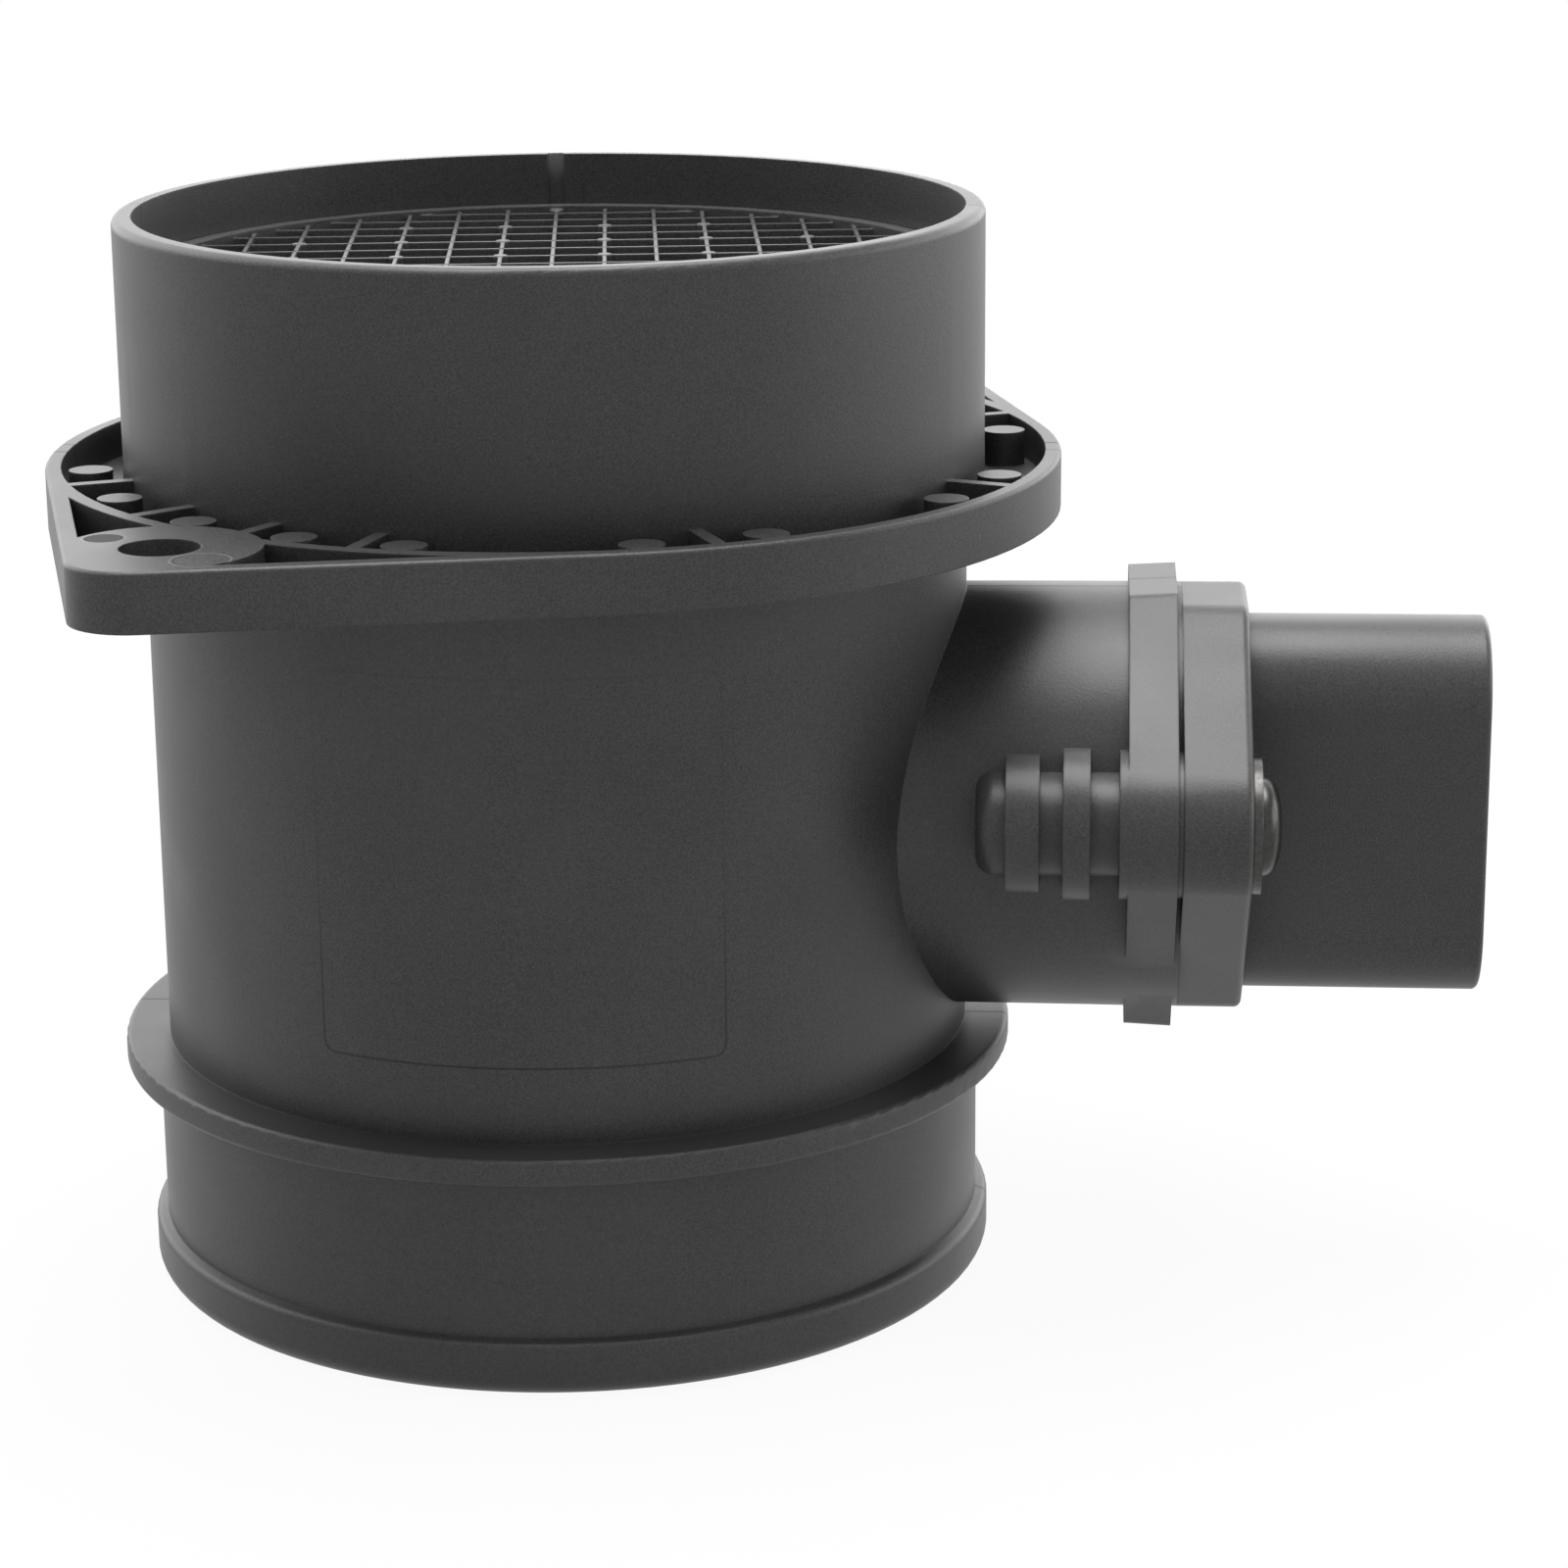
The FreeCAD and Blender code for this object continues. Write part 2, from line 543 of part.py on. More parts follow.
def channel_tool():
    """Air path of the bypass channel, open towards the wing's cover side."""
    depth = V(0, CHANNEL_FLOOR_Y - COVER_FACE_Y, 0)
    place = facing_y(COVER_FACE_Y)
    half = CHANNEL_W / 2
    middle_x = CHANNEL_MOUTH_X + CHANNEL_BEND_R
    down = rectangle(CHANNEL_MOUTH_X - half, CHANNEL_MOUTH_X + half, CHANNEL_BEND_Z, WING_HALF_H, 0)
    up = rectangle(CHANNEL_RETURN_X - half, CHANNEL_RETURN_X + half, CHANNEL_BEND_Z, CHANNEL_END_Z, 0)
    centre = V(middle_x, COVER_FACE_Y, SOCKET_Z + CHANNEL_BEND_Z)
    bend = Part.makeCylinder(CHANNEL_BEND_R + half, depth.y, centre, Y_AXIS)
    bend = bend.cut(Part.makeCylinder(CHANNEL_BEND_R - half, depth.y, centre, Y_AXIS))
    lower = slab(rounded_wire(rectangle(middle_x - 2 * CHANNEL_BEND_R, middle_x + 2 * CHANNEL_BEND_R,
                                        CHANNEL_BEND_Z - 2 * CHANNEL_BEND_R, CHANNEL_BEND_Z, 0), place), depth)
    drain_x = CHANNEL_MOUTH_X - half + CHANNEL_DRAIN_W / 2
    drain = Part.makeBox(CHANNEL_DRAIN_W, CHANNEL_DRAIN_W, WING_HALF_H,
                         V(drain_x - CHANNEL_DRAIN_W / 2, -CHANNEL_DRAIN_W / 2, SOCKET_Z - WING_HALF_H))
    legs = [slab(rounded_wire(leg, place), depth) for leg in (down, up)]
    return bend.common(lower).multiFuse(legs + [drain])


def channel_cover_corners(gap):
    """Outline of the channel's cover, or of its seat when the gap is zero."""
    u0 = CHANNEL_MOUTH_X - CHANNEL_W / 2 - COVER_LEDGE + gap
    u1 = CHANNEL_RETURN_X + CHANNEL_W / 2 + COVER_LEDGE - gap
    return rectangle(u0, u1, CHANNEL_COVER_BOTTOM_Z + gap, CHANNEL_COVER_TOP_Z - gap, COVER_CORNER)


def chamber_corners(grow):
    """Outline of the electronics chamber, grown or shrunk on every side."""
    return rectangle(CHAMBER_X0 - grow, CHAMBER_X1 + grow, CHAMBER_BOTTOM_Z - grow, CHAMBER_TOP_Z + grow,
                     CHAMBER_CORNER)


def tongue_box(gap, y0, y1):
    """Block round the base plate's tongue where it passes into the channel."""
    half = TONGUE_W / 2 + gap
    x0 = CHAMBER_X0 - TONGUE_REACH
    return Part.makeBox(TONGUE_REACH, y1 - y0, 2 * half, V(x0, y0, SOCKET_Z + TONGUE_Z - half))


def pin_solid(index):
    """One connector pin: bonding pad, jog to the connector's pitch, and a tapered tip."""
    inner = PIN_INNER_Z + (index - (PIN_COUNT - 1) / 2) * PIN_INNER_PITCH
    outer = (index - (PIN_COUNT - 1) / 2) * PIN_PITCH - SHROUD_DROP
    half = PIN_W / 2
    tip_x = CAVITY_X + PIN_REACH
    line = [(CHAMBER_X1 - PIN_PAD_L, inner, half), (PIN_BEND_X0, inner, half), (PIN_BEND_X1, outer, half),
            (tip_x - PIN_TAPER, outer, half), (tip_x, outer, half / 2)]
    upper = [(x, z + h, 0) for x, z, h in line]
    lower = [(x, z - h, 0) for x, z, h in reversed(line)]
    return slab(rounded_wire(upper + lower, facing_y(-PIN_T / 2)), V(0, PIN_T, 0))


def probe_lead(side):
    """One lead of the temperature probe: out of the wing's rear face and round to the bead."""
    spread = side * PROBE_SPREAD
    y0 = WING_HALF_W - PROBE_ROOT
    y1 = WING_HALF_W + PROBE_STANDOFF
    bend = PROBE_BEND_R
    cut = bend * (1 - math.sqrt(0.5))
    start = V(PROBE_X, y0, SOCKET_Z + spread)
    turn0 = V(PROBE_X, y1 - bend, SOCKET_Z + spread)
    turn1 = V(PROBE_X, y1 - cut, SOCKET_Z + spread - side * cut)
    turn2 = V(PROBE_X, y1, SOCKET_Z + spread - side * bend)
    stop = V(PROBE_X, y1, SOCKET_Z + side * PROBE_BEAD_L / 2)
    path = Part.Wire([Part.makeLine(start, turn0), Part.Arc(turn0, turn1, turn2).toShape(),
                      Part.makeLine(turn2, stop)])
    section = Part.Wire([Part.makeCircle(PROBE_LEAD_R, start, Y_AXIS)])
    return path.makePipeShell([section], True, False)


def sensor_body():
    """Moulded body of the plug-in sensor: connector, flange, neck and wing in one piece."""
    wing = slab(wing_wire(WING_TIP_X), V(NECK_X + NECK_CORE_DEPTH - WING_TIP_X, 0, 0))
    tip_edges = [e for e in wing.Edges if abs(e.CenterOfMass.x - WING_TIP_X) < 0.01]
    wing = wing.makeFillet(WING_TIP_ROUND, tip_edges)
    neck = rod_x(NECK_R, NECK_X, PLUG_X)
    outline = pointed_outline(PLUG_FLANGE_HALF_H, PLUG_FLANGE_FLAT, PLUG_FLANGE_CORNER, SCREW_PAD_R)
    flange = slab(rounded_wire(outline, facing_x(PLUG_X)), V(PLUG_FLANGE_T, 0, 0))
    rim = [e for e in flange.Edges if abs(e.CenterOfMass.x - SHROUD_X) < 0.01]
    flange = flange.makeFillet(PLUG_FLANGE_EDGE, rim)
    shroud = slab(rounded_wire(shroud_corners(0), facing_x(SHROUD_X)), V(SHROUD_LENGTH, 0, 0))
    mouth = [e for e in shroud.Edges if abs(e.CenterOfMass.x - MOUTH_X) < 0.01]
    shroud = shroud.makeFillet(SHROUD_EDGE, mouth)
    latch = [(MOUTH_X - LATCH_SETBACK - LATCH_L, SHROUD_HALF_W, 0), (MOUTH_X - LATCH_SETBACK, SHROUD_HALF_W, 0),
             (MOUTH_X - LATCH_SETBACK, SHROUD_HALF_W + LATCH_H, LATCH_ROUND)]
    latch_z = SOCKET_Z - SHROUD_DROP - LATCH_W / 2
    latch = slab(rounded_wire(latch, lambda u, v: V(u, v, latch_z)), V(0, 0, LATCH_W))
    body = wing.multiFuse([neck, flange, shroud, latch])
    return body.cut(body_hollows()[0].multiFuse(body_hollows()[1:])).removeSplitter()


def body_hollows():
    """Everything that is taken out of the sensor's body."""
    cavity = slab(rounded_wire(shroud_corners(SHROUD_WALL), facing_x(CAVITY_X)), V(MOUTH_X - CAVITY_X, 0, 0))
    for side in (-1, 1):
        guide_z = SOCKET_Z - SHROUD_DROP + side * GUIDE_SPAN / 2 - GUIDE_W / 2
        guide_y = SHROUD_HALF_W - SHROUD_WALL - GUIDE_H
        cavity = cavity.cut(Part.makeBox(MOUTH_X - CAVITY_X, GUIDE_H, GUIDE_W, V(CAVITY_X, guide_y, guide_z)))
    seal_x = PLUG_X - SEAL_SETBACK - SEAL_GROOVE_W / 2
    groove = rod_x(NECK_R, seal_x, seal_x + SEAL_GROOVE_W)
    groove = groove.cut(rod_x(seal_floor_r(), seal_x, seal_x + SEAL_GROOVE_W))
    hollows = [cavity, groove]
    core = rod_x(NECK_R - NECK_CORE_WALL, NECK_X, NECK_X + NECK_CORE_DEPTH)
    keep = 2 * (WING_HALF_W + NECK_CORE_WALL)
    hollows.append(core.cut(Part.makeBox(NECK_CORE_DEPTH, keep, 2 * NECK_R,
                                         V(NECK_X, -keep / 2, SOCKET_Z - NECK_R))))
    place = facing_y(-WING_HALF_W)
    hollows.append(slab(rounded_wire(channel_cover_corners(0), place), V(0, COVER_T, 0)))
    hollows.append(slab(rounded_wire(chamber_corners(COVER_LEDGE), place), V(0, COVER_T, 0)))
    depth = CHAMBER_FLOOR_Y + WING_HALF_W
    chamber = slab(rounded_wire(chamber_corners(0), place), V(0, depth, 0))
    shelf = Part.makeBox(PIN_PAD_L, CHAMBER_FLOOR_Y - PIN_T / 2, CHAMBER_TOP_Z - CHAMBER_BOTTOM_Z,
                         V(CHAMBER_X1 - PIN_PAD_L, PIN_T / 2, SOCKET_Z + CHAMBER_BOTTOM_Z))
    hollows.append(chamber.cut(shelf))
    hollows.append(channel_tool())
    hollows.append(tongue_box(TONGUE_SLOT_GAP, -WING_HALF_W, CHAMBER_FLOOR_Y))
    hollows += [pin_solid(i) for i in range(PIN_COUNT)]
    hollows += [probe_lead(side) for side in (-1, 1)]
    for y, rise in both_screws():
        hollows.append(rod_x(SCREW_R + SCREW_HOLE_CLEARANCE, PLUG_X, SHROUD_X, y, rise))
    for x in WING_CORE_COLUMNS:
        for row in (-1, 1):
            middle = (CHAMBER_TOP_Z + CHAMBER_BOTTOM_Z) / 2 + row * (WING_CORE_H + WING_CORE_RIB) / 2
            corner = V(x - WING_CORE_L / 2, WING_HALF_W - WING_CORE_DEPTH, SOCKET_Z + middle - WING_CORE_H / 2)
            hollows.append(Part.makeBox(WING_CORE_L, WING_CORE_DEPTH, WING_CORE_H, corner))
    return hollows


def seal_floor_r():
    """Radius of the floor of the seal's groove."""
    return SOCKET_BORE_R - SEAL_CLEARANCE - 2 * SEAL_SECTION_R


def seal_ring():
    """O-ring between the sensor's neck and the socket's bore."""
    centre = V(PLUG_X - SEAL_SETBACK, 0, SOCKET_Z)
    return Part.makeTorus(seal_floor_r() + SEAL_SECTION_R, SEAL_SECTION_R, centre, X_AXIS)


def base_plate():
    """Aluminium plate under the circuit, with the tongue that carries the chip into the air path."""
    corners = rectangle(CHAMBER_X0 + PLATE_GAP, CHAMBER_X0 + PLATE_LENGTH, CHAMBER_BOTTOM_Z + PLATE_GAP,
                        CHAMBER_TOP_Z - PLATE_GAP, CHAMBER_CORNER)
    plate = slab(rounded_wire(corners, facing_y(PLATE_TOP_Y)), V(0, PLATE_T, 0))
    tongue = tongue_box(0, PLATE_TOP_Y, CHAMBER_FLOOR_Y)
    root = Part.makeBox(2 * PLATE_GAP, PLATE_T, TONGUE_W,
                        V(CHAMBER_X0, PLATE_TOP_Y, SOCKET_Z + TONGUE_Z - TONGUE_W / 2))
    plate = plate.multiFuse([tongue, root])
    return plate.cut(chip_block(0)).removeSplitter()


def chip_block(gap):
    """Block of the sensing chip, let into the tongue's face."""
    x0 = CHAMBER_X0 - TONGUE_REACH + CHIP_SETBACK
    return Part.makeBox(CHIP_L - 2 * gap, CHIP_T, CHIP_W - 2 * gap,
                        V(x0 + gap, PLATE_TOP_Y, SOCKET_Z + TONGUE_Z - CHIP_W / 2 + gap))


def sensing_chip():
    """Silicon chip with a thin membrane: its rear is etched away below the middle."""
    chip = chip_block(COVER_GAP)
    x0 = CHAMBER_X0 - TONGUE_REACH + CHIP_SETBACK + CHIP_L / 2
    window = CHIP_L / 3
    well = Part.makeBox(window, CHIP_T * 0.75, window,
                        V(x0 - window / 2, PLATE_TOP_Y + CHIP_T * 0.25, SOCKET_Z + TONGUE_Z - window / 2))
    return chip.cut(well)


def circuit_board():
    """Ceramic circuit board on the base plate."""
    return slab(rounded_wire(board_corners(), facing_y(BOARD_TOP_Y)), V(0, BOARD_T, 0))


def board_corners():
    """Outline of the circuit board."""
    inset = PLATE_GAP + BOARD_MARGIN
    return rectangle(CHAMBER_X0 + inset, board_end_x(), CHAMBER_BOTTOM_Z + inset, CHAMBER_TOP_Z - inset,
                     BOARD_CORNER)


def board_end_x():
    """Edge of the circuit board on the connector's side."""
    return CHAMBER_X0 + PLATE_LENGTH - BOARD_MARGIN


def board_chips():
    """Packages on the circuit board, as separate solids of one group."""
    chips = []
    middle_z = SOCKET_Z + (CHAMBER_TOP_Z + CHAMBER_BOTTOM_Z) / 2
    for x, z, length, width, height in BOARD_CHIPS:
        corner = V(CHAMBER_X0 + x - length / 2, BOARD_TOP_Y - height, middle_z + z - width / 2)
        chips.append(Part.makeBox(length, height, width, corner))
    return Part.makeCompound(chips)


def bond_wires():
    """Aluminium wires from the board's edge to the pins' pads, as one group."""
    wires = []
    for index in range(PIN_COUNT):
        z = SOCKET_Z + PIN_INNER_Z + (index - (PIN_COUNT - 1) / 2) * PIN_INNER_PITCH
        start = V(board_end_x() - BOND_FOOT, BOARD_TOP_Y, z)
        stop = V(CHAMBER_X1 - PIN_PAD_L / 2, -PIN_T / 2, z)
        top = (start + stop) / 2 - V(0, BOND_WIRE_RISE, 0)
        path = Part.Wire([Part.Arc(start, top, stop).toShape()])
        heading = path.Edges[0].tangentAt(path.Edges[0].FirstParameter)
        section = Part.Wire([Part.makeCircle(BOND_WIRE_R, start, heading)])
        wire = path.makePipeShell([section], True, False)
        wires.append(wire.cut(circuit_board()).cut(pin_solid(index)))
    return Part.makeCompound(wires)


def electronics_cover():
    """Cover over the electronics, with a tab that closes the slot above the tongue."""
    plate = slab(rounded_wire(chamber_corners(COVER_LEDGE - COVER_GAP), facing_y(-WING_HALF_W)), V(0, COVER_T, 0))
    half = TONGUE_W / 2
    x0 = CHANNEL_RETURN_X + CHANNEL_W / 2 + COVER_LEDGE + COVER_GAP
    tab = Part.makeBox(CHAMBER_X0 - x0, PLATE_TOP_Y - TONGUE_SLOT_GAP + WING_HALF_W, TONGUE_W,
                       V(x0, -WING_HALF_W, SOCKET_Z + TONGUE_Z - half))
    return plate.fuse(tab).removeSplitter()


def channel_cover():
    """Cover over the bypass channel, with the window where the measured air leaves."""
    plate = slab(rounded_wire(channel_cover_corners(COVER_GAP), facing_y(-WING_HALF_W)), V(0, COVER_T, 0))
    half = CHANNEL_W / 2 - CHANNEL_WINDOW_INSET
    window = rectangle(CHANNEL_RETURN_X - half, CHANNEL_RETURN_X + half, CHANNEL_END_Z - CHANNEL_WINDOW_L,
                       CHANNEL_END_Z, CHANNEL_WINDOW_ROUND)
    return plate.cut(slab(rounded_wire(window, facing_y(-WING_HALF_W)), V(0, COVER_T, 0)))


def probe_bead():
    """Glass bead of the temperature probe."""
    y = WING_HALF_W + PROBE_STANDOFF
    half = PROBE_BEAD_L / 2
    profile = [(0, -half, 0), (PROBE_BEAD_R, -half, PROBE_BEAD_R * 0.8), (PROBE_BEAD_R, half, PROBE_BEAD_R * 0.8),
               (0, half, 0)]
    wire = rounded_wire(profile, lambda u, v: V(PROBE_X + u, y, SOCKET_Z + v))
    return Part.Face(wire).revolve(V(PROBE_X, y, SOCKET_Z), Z_AXIS, 360)


def mounting_screw(y, rise):
    """Domed tamper-proof screw: six-lobed recess with a pin, plain shank and tapered end."""
    tip_x = HEAD_X - SCREW_LENGTH
    crown = HEAD_X + SCREW_HEAD_H
    dome_h = SCREW_HEAD_H - SCREW_HEAD_EDGE
    dome_r = (SCREW_HEAD_R ** 2 + dome_h ** 2) / (2 * dome_h)
    dome = Part.makeSphere(dome_r, V(crown - dome_r, y, SOCKET_Z + rise))
    head = rod_x(SCREW_HEAD_R, HEAD_X, crown, y, rise).common(dome)
    point = Part.makeCone(SCREW_POINT_R, SCREW_R, SCREW_POINT, V(tip_x, y, SOCKET_Z + rise), X_AXIS)
    screw = head.multiFuse([rod_x(SCREW_R, tip_x + SCREW_POINT, HEAD_X, y, rise), point])
    floor = crown - SCREW_RECESS_DEPTH
    lobe_r = SCREW_RECESS_R * 0.3
    out = SCREW_RECESS_R - lobe_r
    tools = [rod_x(out, floor, crown, y, rise)]
    for i in range(6):
        turn = math.radians(60 * i)
        tools.append(rod_x(lobe_r, floor, crown, y + out * math.cos(turn), rise + out * math.sin(turn)))
    recess = tools[0].multiFuse(tools[1:])
    recess = recess.cut(rod_x(SCREW_RECESS_PIN_R, floor, crown, y, rise))
    return screw.cut(recess).removeSplitter()


def screw_washer(y, rise):
    """Plain washer under a screw's head."""
    washer = rod_x(WASHER_R, SHROUD_X, HEAD_X, y, rise)
    return washer.cut(rod_x(SCREW_R + WASHER_CLEARANCE, SHROUD_X, HEAD_X, y, rise))


def build():
    """All nodes of the sensor by name."""
    nodes = {
        "tube_housing": tube_housing(),
        "flow_grid": flow_grid(),
        "sensor_body": sensor_body(),
        "seal_ring": seal_ring(),
        "base_plate": base_plate(),
        "sensing_chip": sensing_chip(),
        "circuit_board": circuit_board(),
        "board_chips": board_chips(),
        "bond_wires": bond_wires(),
        "electronics_cover": electronics_cover(),
        "channel_cover": channel_cover(),
        "probe_bead": probe_bead(),
        "probe_leads": Part.makeCompound([probe_lead(side) for side in (-1, 1)]),
        "mounting_screws": Part.makeCompound([mounting_screw(y, rise) for y, rise in both_screws()]),
        "screw_washers": Part.makeCompound([screw_washer(y, rise) for y, rise in both_screws()]),
    }
    for index in range(PIN_COUNT):
        nodes["connector_pin_%d" % (index + 1)] = pin_solid(index)
    return nodes


def main():
    os.makedirs("parts", exist_ok=True)
    for name, shape in build().items():
        box = shape.BoundBox
        print("%-18s solids %d valid %s volume %9.1f  x %.1f..%.1f  y %.1f..%.1f  z %.1f..%.1f" % (
            name, len(shape.Solids), shape.isValid(), shape.Volume,
            box.XMin, box.XMax, box.YMin, box.YMax, box.ZMin, box.ZMax))
        shape.exportStep("parts/%s.step" % name)


main()
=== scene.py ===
"""Looks of the mass airflow sensor: mould-grained black plastic, plated screws, and a plain studio.

Lengths are metres in the part's own frame: +Z up the flow tube, +X along the sensor's socket.
"""
import bpy
import bmesh
import json
import math
import numpy as np
from mathutils import Matrix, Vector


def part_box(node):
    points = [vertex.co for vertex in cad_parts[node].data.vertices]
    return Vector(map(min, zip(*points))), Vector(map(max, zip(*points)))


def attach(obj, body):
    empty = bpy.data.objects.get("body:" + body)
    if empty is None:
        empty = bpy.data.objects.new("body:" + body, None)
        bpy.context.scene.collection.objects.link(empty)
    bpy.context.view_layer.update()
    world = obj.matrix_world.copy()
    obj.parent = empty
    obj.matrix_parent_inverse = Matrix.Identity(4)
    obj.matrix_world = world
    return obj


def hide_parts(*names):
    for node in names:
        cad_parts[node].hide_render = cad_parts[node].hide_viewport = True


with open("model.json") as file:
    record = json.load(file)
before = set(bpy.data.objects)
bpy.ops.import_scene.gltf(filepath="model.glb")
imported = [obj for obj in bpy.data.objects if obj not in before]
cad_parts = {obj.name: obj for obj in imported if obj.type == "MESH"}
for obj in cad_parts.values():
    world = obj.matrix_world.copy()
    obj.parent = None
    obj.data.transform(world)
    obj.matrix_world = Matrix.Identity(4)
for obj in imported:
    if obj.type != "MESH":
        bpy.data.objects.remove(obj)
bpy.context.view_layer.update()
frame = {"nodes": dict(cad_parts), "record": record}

MM = 0.001

# Camera that took the photograph, in the part's frame
CAMERA_PLACE = np.array([49.339, -374.766, 151.190]) * MM
CAMERA_HEADING = 4.315   # degrees from +Y towards -X
CAMERA_TILT = 15.659     # degrees below the horizon
CAMERA_ROLL = 0.521
FOCAL_PIXELS = 4183.96   # for a picture 1600 pixels wide
PICTURE_PIXELS = 1600
SENSOR_WIDTH = 36.0
CLIP_START = 0.01

# Surroundings, in metres. The floor's glow that the camera sees rises to full between the two distances
# of FLOOR_FADE. Each soft lamp has its place, width, height and radiance, and looks at LAMPS_AIM.
FLOOR_REACH = 6.0
FLOOR_DROP = 0.0002
FLOOR_FADE = (0.25, 0.9)
FLOOR_WHITE = 0.55
FLOOR_GLOW_SEEN = 0.94
FLOOR_GLOW_IN_GLOSS = 1.0
WORLD_LIGHT = 0.43
LAMPS_AIM = np.array([0.02, 0.0, 0.05])
LAMPS = {
    "lamp_above": ((0.0, 0.05, 0.75), 0.50, 0.50, 11.0),
    "lamp_above_left": ((-0.7, 0.2, 0.60), 0.7, 0.6, 2.7),
    "lamp_behind": ((0.0, 2.2, 0.90), 5.0, 1.9, 1.75),
    "lamp_left": ((-1.0, 0.7, 0.22), 0.8, 0.5, 1.2),
    "lamp_right": ((1.1, 0.2, 0.28), 1.0, 0.6, 2.4),
    "lamp_far_right": ((0.75, 1.05, 0.22), 0.7, 0.5, 1.6),
}

# Marks of the mould on the tube's housing, some with painted shade and some with a painted highlight:
# millimetres, and radians round the tube's axis. A pair of radii, heights or widths says where a mark
# starts to show and where it shows in full.
BODY_R = 38.35
INSIDE_BODY = (BODY_R - 1.5, BODY_R - 0.8)
OUTSIDE_BODY = (BODY_R + 1.5, BODY_R + 0.8)
INSERT_AZIMUTH = math.radians(-89.3)
INSERT_HALF_WIDTH = math.radians(27.8) * BODY_R
INSERT_Z = 47.95
INSERT_HALF_HEIGHT = 17.55
INSERT_CORNER = 1.2
INSERT_FADE = (INSERT_Z + 4.0, INSERT_Z - INSERT_HALF_HEIGHT)
LINE_WIDTH = 0.16
EJECTOR_RINGS = ((-33.2, -41.3, 1.5, 0.9), (-23.2, -49.4, 2.25, 0.0))   # x, y, radius, how dark the painted shade inside the sunk ring is
EJECTOR_SLOPE = 0.3
EJECTOR_LIP = 0.3            # from a ring out to its lip, which gets a painted highlight
LOBE_TOP_Z = (77.6, 77.9)
LOBE_TOP_R = (50.5, 51.0)
RIM_NOTCHES = (math.radians(-175.5), math.radians(4.3))      # azimuths of the two
FLANGE_RIM_R = 46.0
FLANGE_RIM_Z = (76.6, 77.0)
FLANGE_RIM_WALL = (44.9, 45.2)
# Key groove: its top gets a painted highlight that fades down the groove
KEY_AZIMUTH = math.radians(96.5)
KEY_BORE_R = 38.2
KEY_SIDES = (0.95, 0.75)
KEY_FLOOR = (38.9, 38.85)
KEY_MOUTH = (38.0, 38.1)
KEY_FOOT_Z = (92.0, 93.0)
KEY_HIGHLIGHT_Z = (97.8, 100.7)
PARTING_R = (BODY_R - 0.6, BODY_R - 0.2)

# Finish of the plastic and the steel: black nylon's grey level and roughness, the sizes of the noises
# that colour it, and how far sharp edges look rounded
BLACK = (0.034, 0.43)
PATCHES = 16 * MM
MOTTLE = 0.7 * MM
SPECKLE = 0.17 * MM
FIBRES = 0.8 * MM
EDGE_ROUND = 0.22 * MM
STEEL_ROUND = 0.2 * MM
ROUND_SAMPLES = 2
EDGE_UPWARD = (-0.2, 0.4)    # the normal's Z where the painted highlight and wear on edges start and where they are full

# Screw heads: a flattened dome whose outline is (r / R)^n + (h / H)^n = 1, in millimetres
SCREWS = ((-21.4, 48.45), (21.4, 42.25))
SCREW_R = 2.4
SCREW_POINT_R = 1.6
SCREW_POINT_H = 1.0
SCREW_HEAD_R = 4.45
SCREW_DOME_POWER = 2.6
SCREW_DOME_END_R = 2.3
SCREW_DOME_STEPS = 20
RECESS_R = 1.55
RECESS_LOBE = 0.32
RECESS_DEPTH = 1.2
RECESS_TAPER = 0.96
RECESS_PIN_R = 0.55
RECESS_PIN_DROP = 0.15

# Flow grid: thin upright plates and round pads where every second pair crosses, in millimetres
GRID_PITCH = 4.86
GRID_PLATE_T = 0.36
GRID_PLATE_H = 4.0
GRID_PLATE_DROP = 0.4
GRID_RING_T = 1.6
GRID_INTO_RING = 0.4
GRID_TURN = math.radians(6.5)
GRID_PAD_R = 0.72
GRID_PAD_RISE = 0.08
GRID_PAD_H = 1.6
GRID_PAD_EDGE = 0.1

# Edges between faces that meet more sharply than CRISP_ANGLE stay crisp. Roundings get better triangles
# where faces with short sides meet at an angle between FLAT_ANGLE and STEEP_ANGLE.
CRISP_ANGLE = math.radians(38)
FLAT_ANGLE = math.radians(0.5)
STEEP_ANGLE = math.radians(75)
SHORT_SIDE = 3.0 * MM
TRIANGLE_PASSES = 3
JOIN_GAP = 0.002 * MM
SLIVER = 0.001 * MM
NEW_PIECE_GAP = 0.0005 * MM
TURN_STEPS = 48


class Wire:
    """A shader socket that takes part in arithmetic: each operator adds one Math node."""

    def __init__(self, finish, socket):
        self.finish = finish
        self.socket = socket

    def _with(self, operation, *others):
        return self.finish.math(operation, self, *others)

    def __add__(self, other):
        return self._with("ADD", other)

    def __radd__(self, other):
        return self.finish.math("ADD", other, self)

    def __sub__(self, other):
        return self._with("SUBTRACT", other)

    def __rsub__(self, other):
        return self.finish.math("SUBTRACT", other, self)

    def __mul__(self, other):
        return self._with("MULTIPLY", other)

    def __rmul__(self, other):
        return self.finish.math("MULTIPLY", other, self)


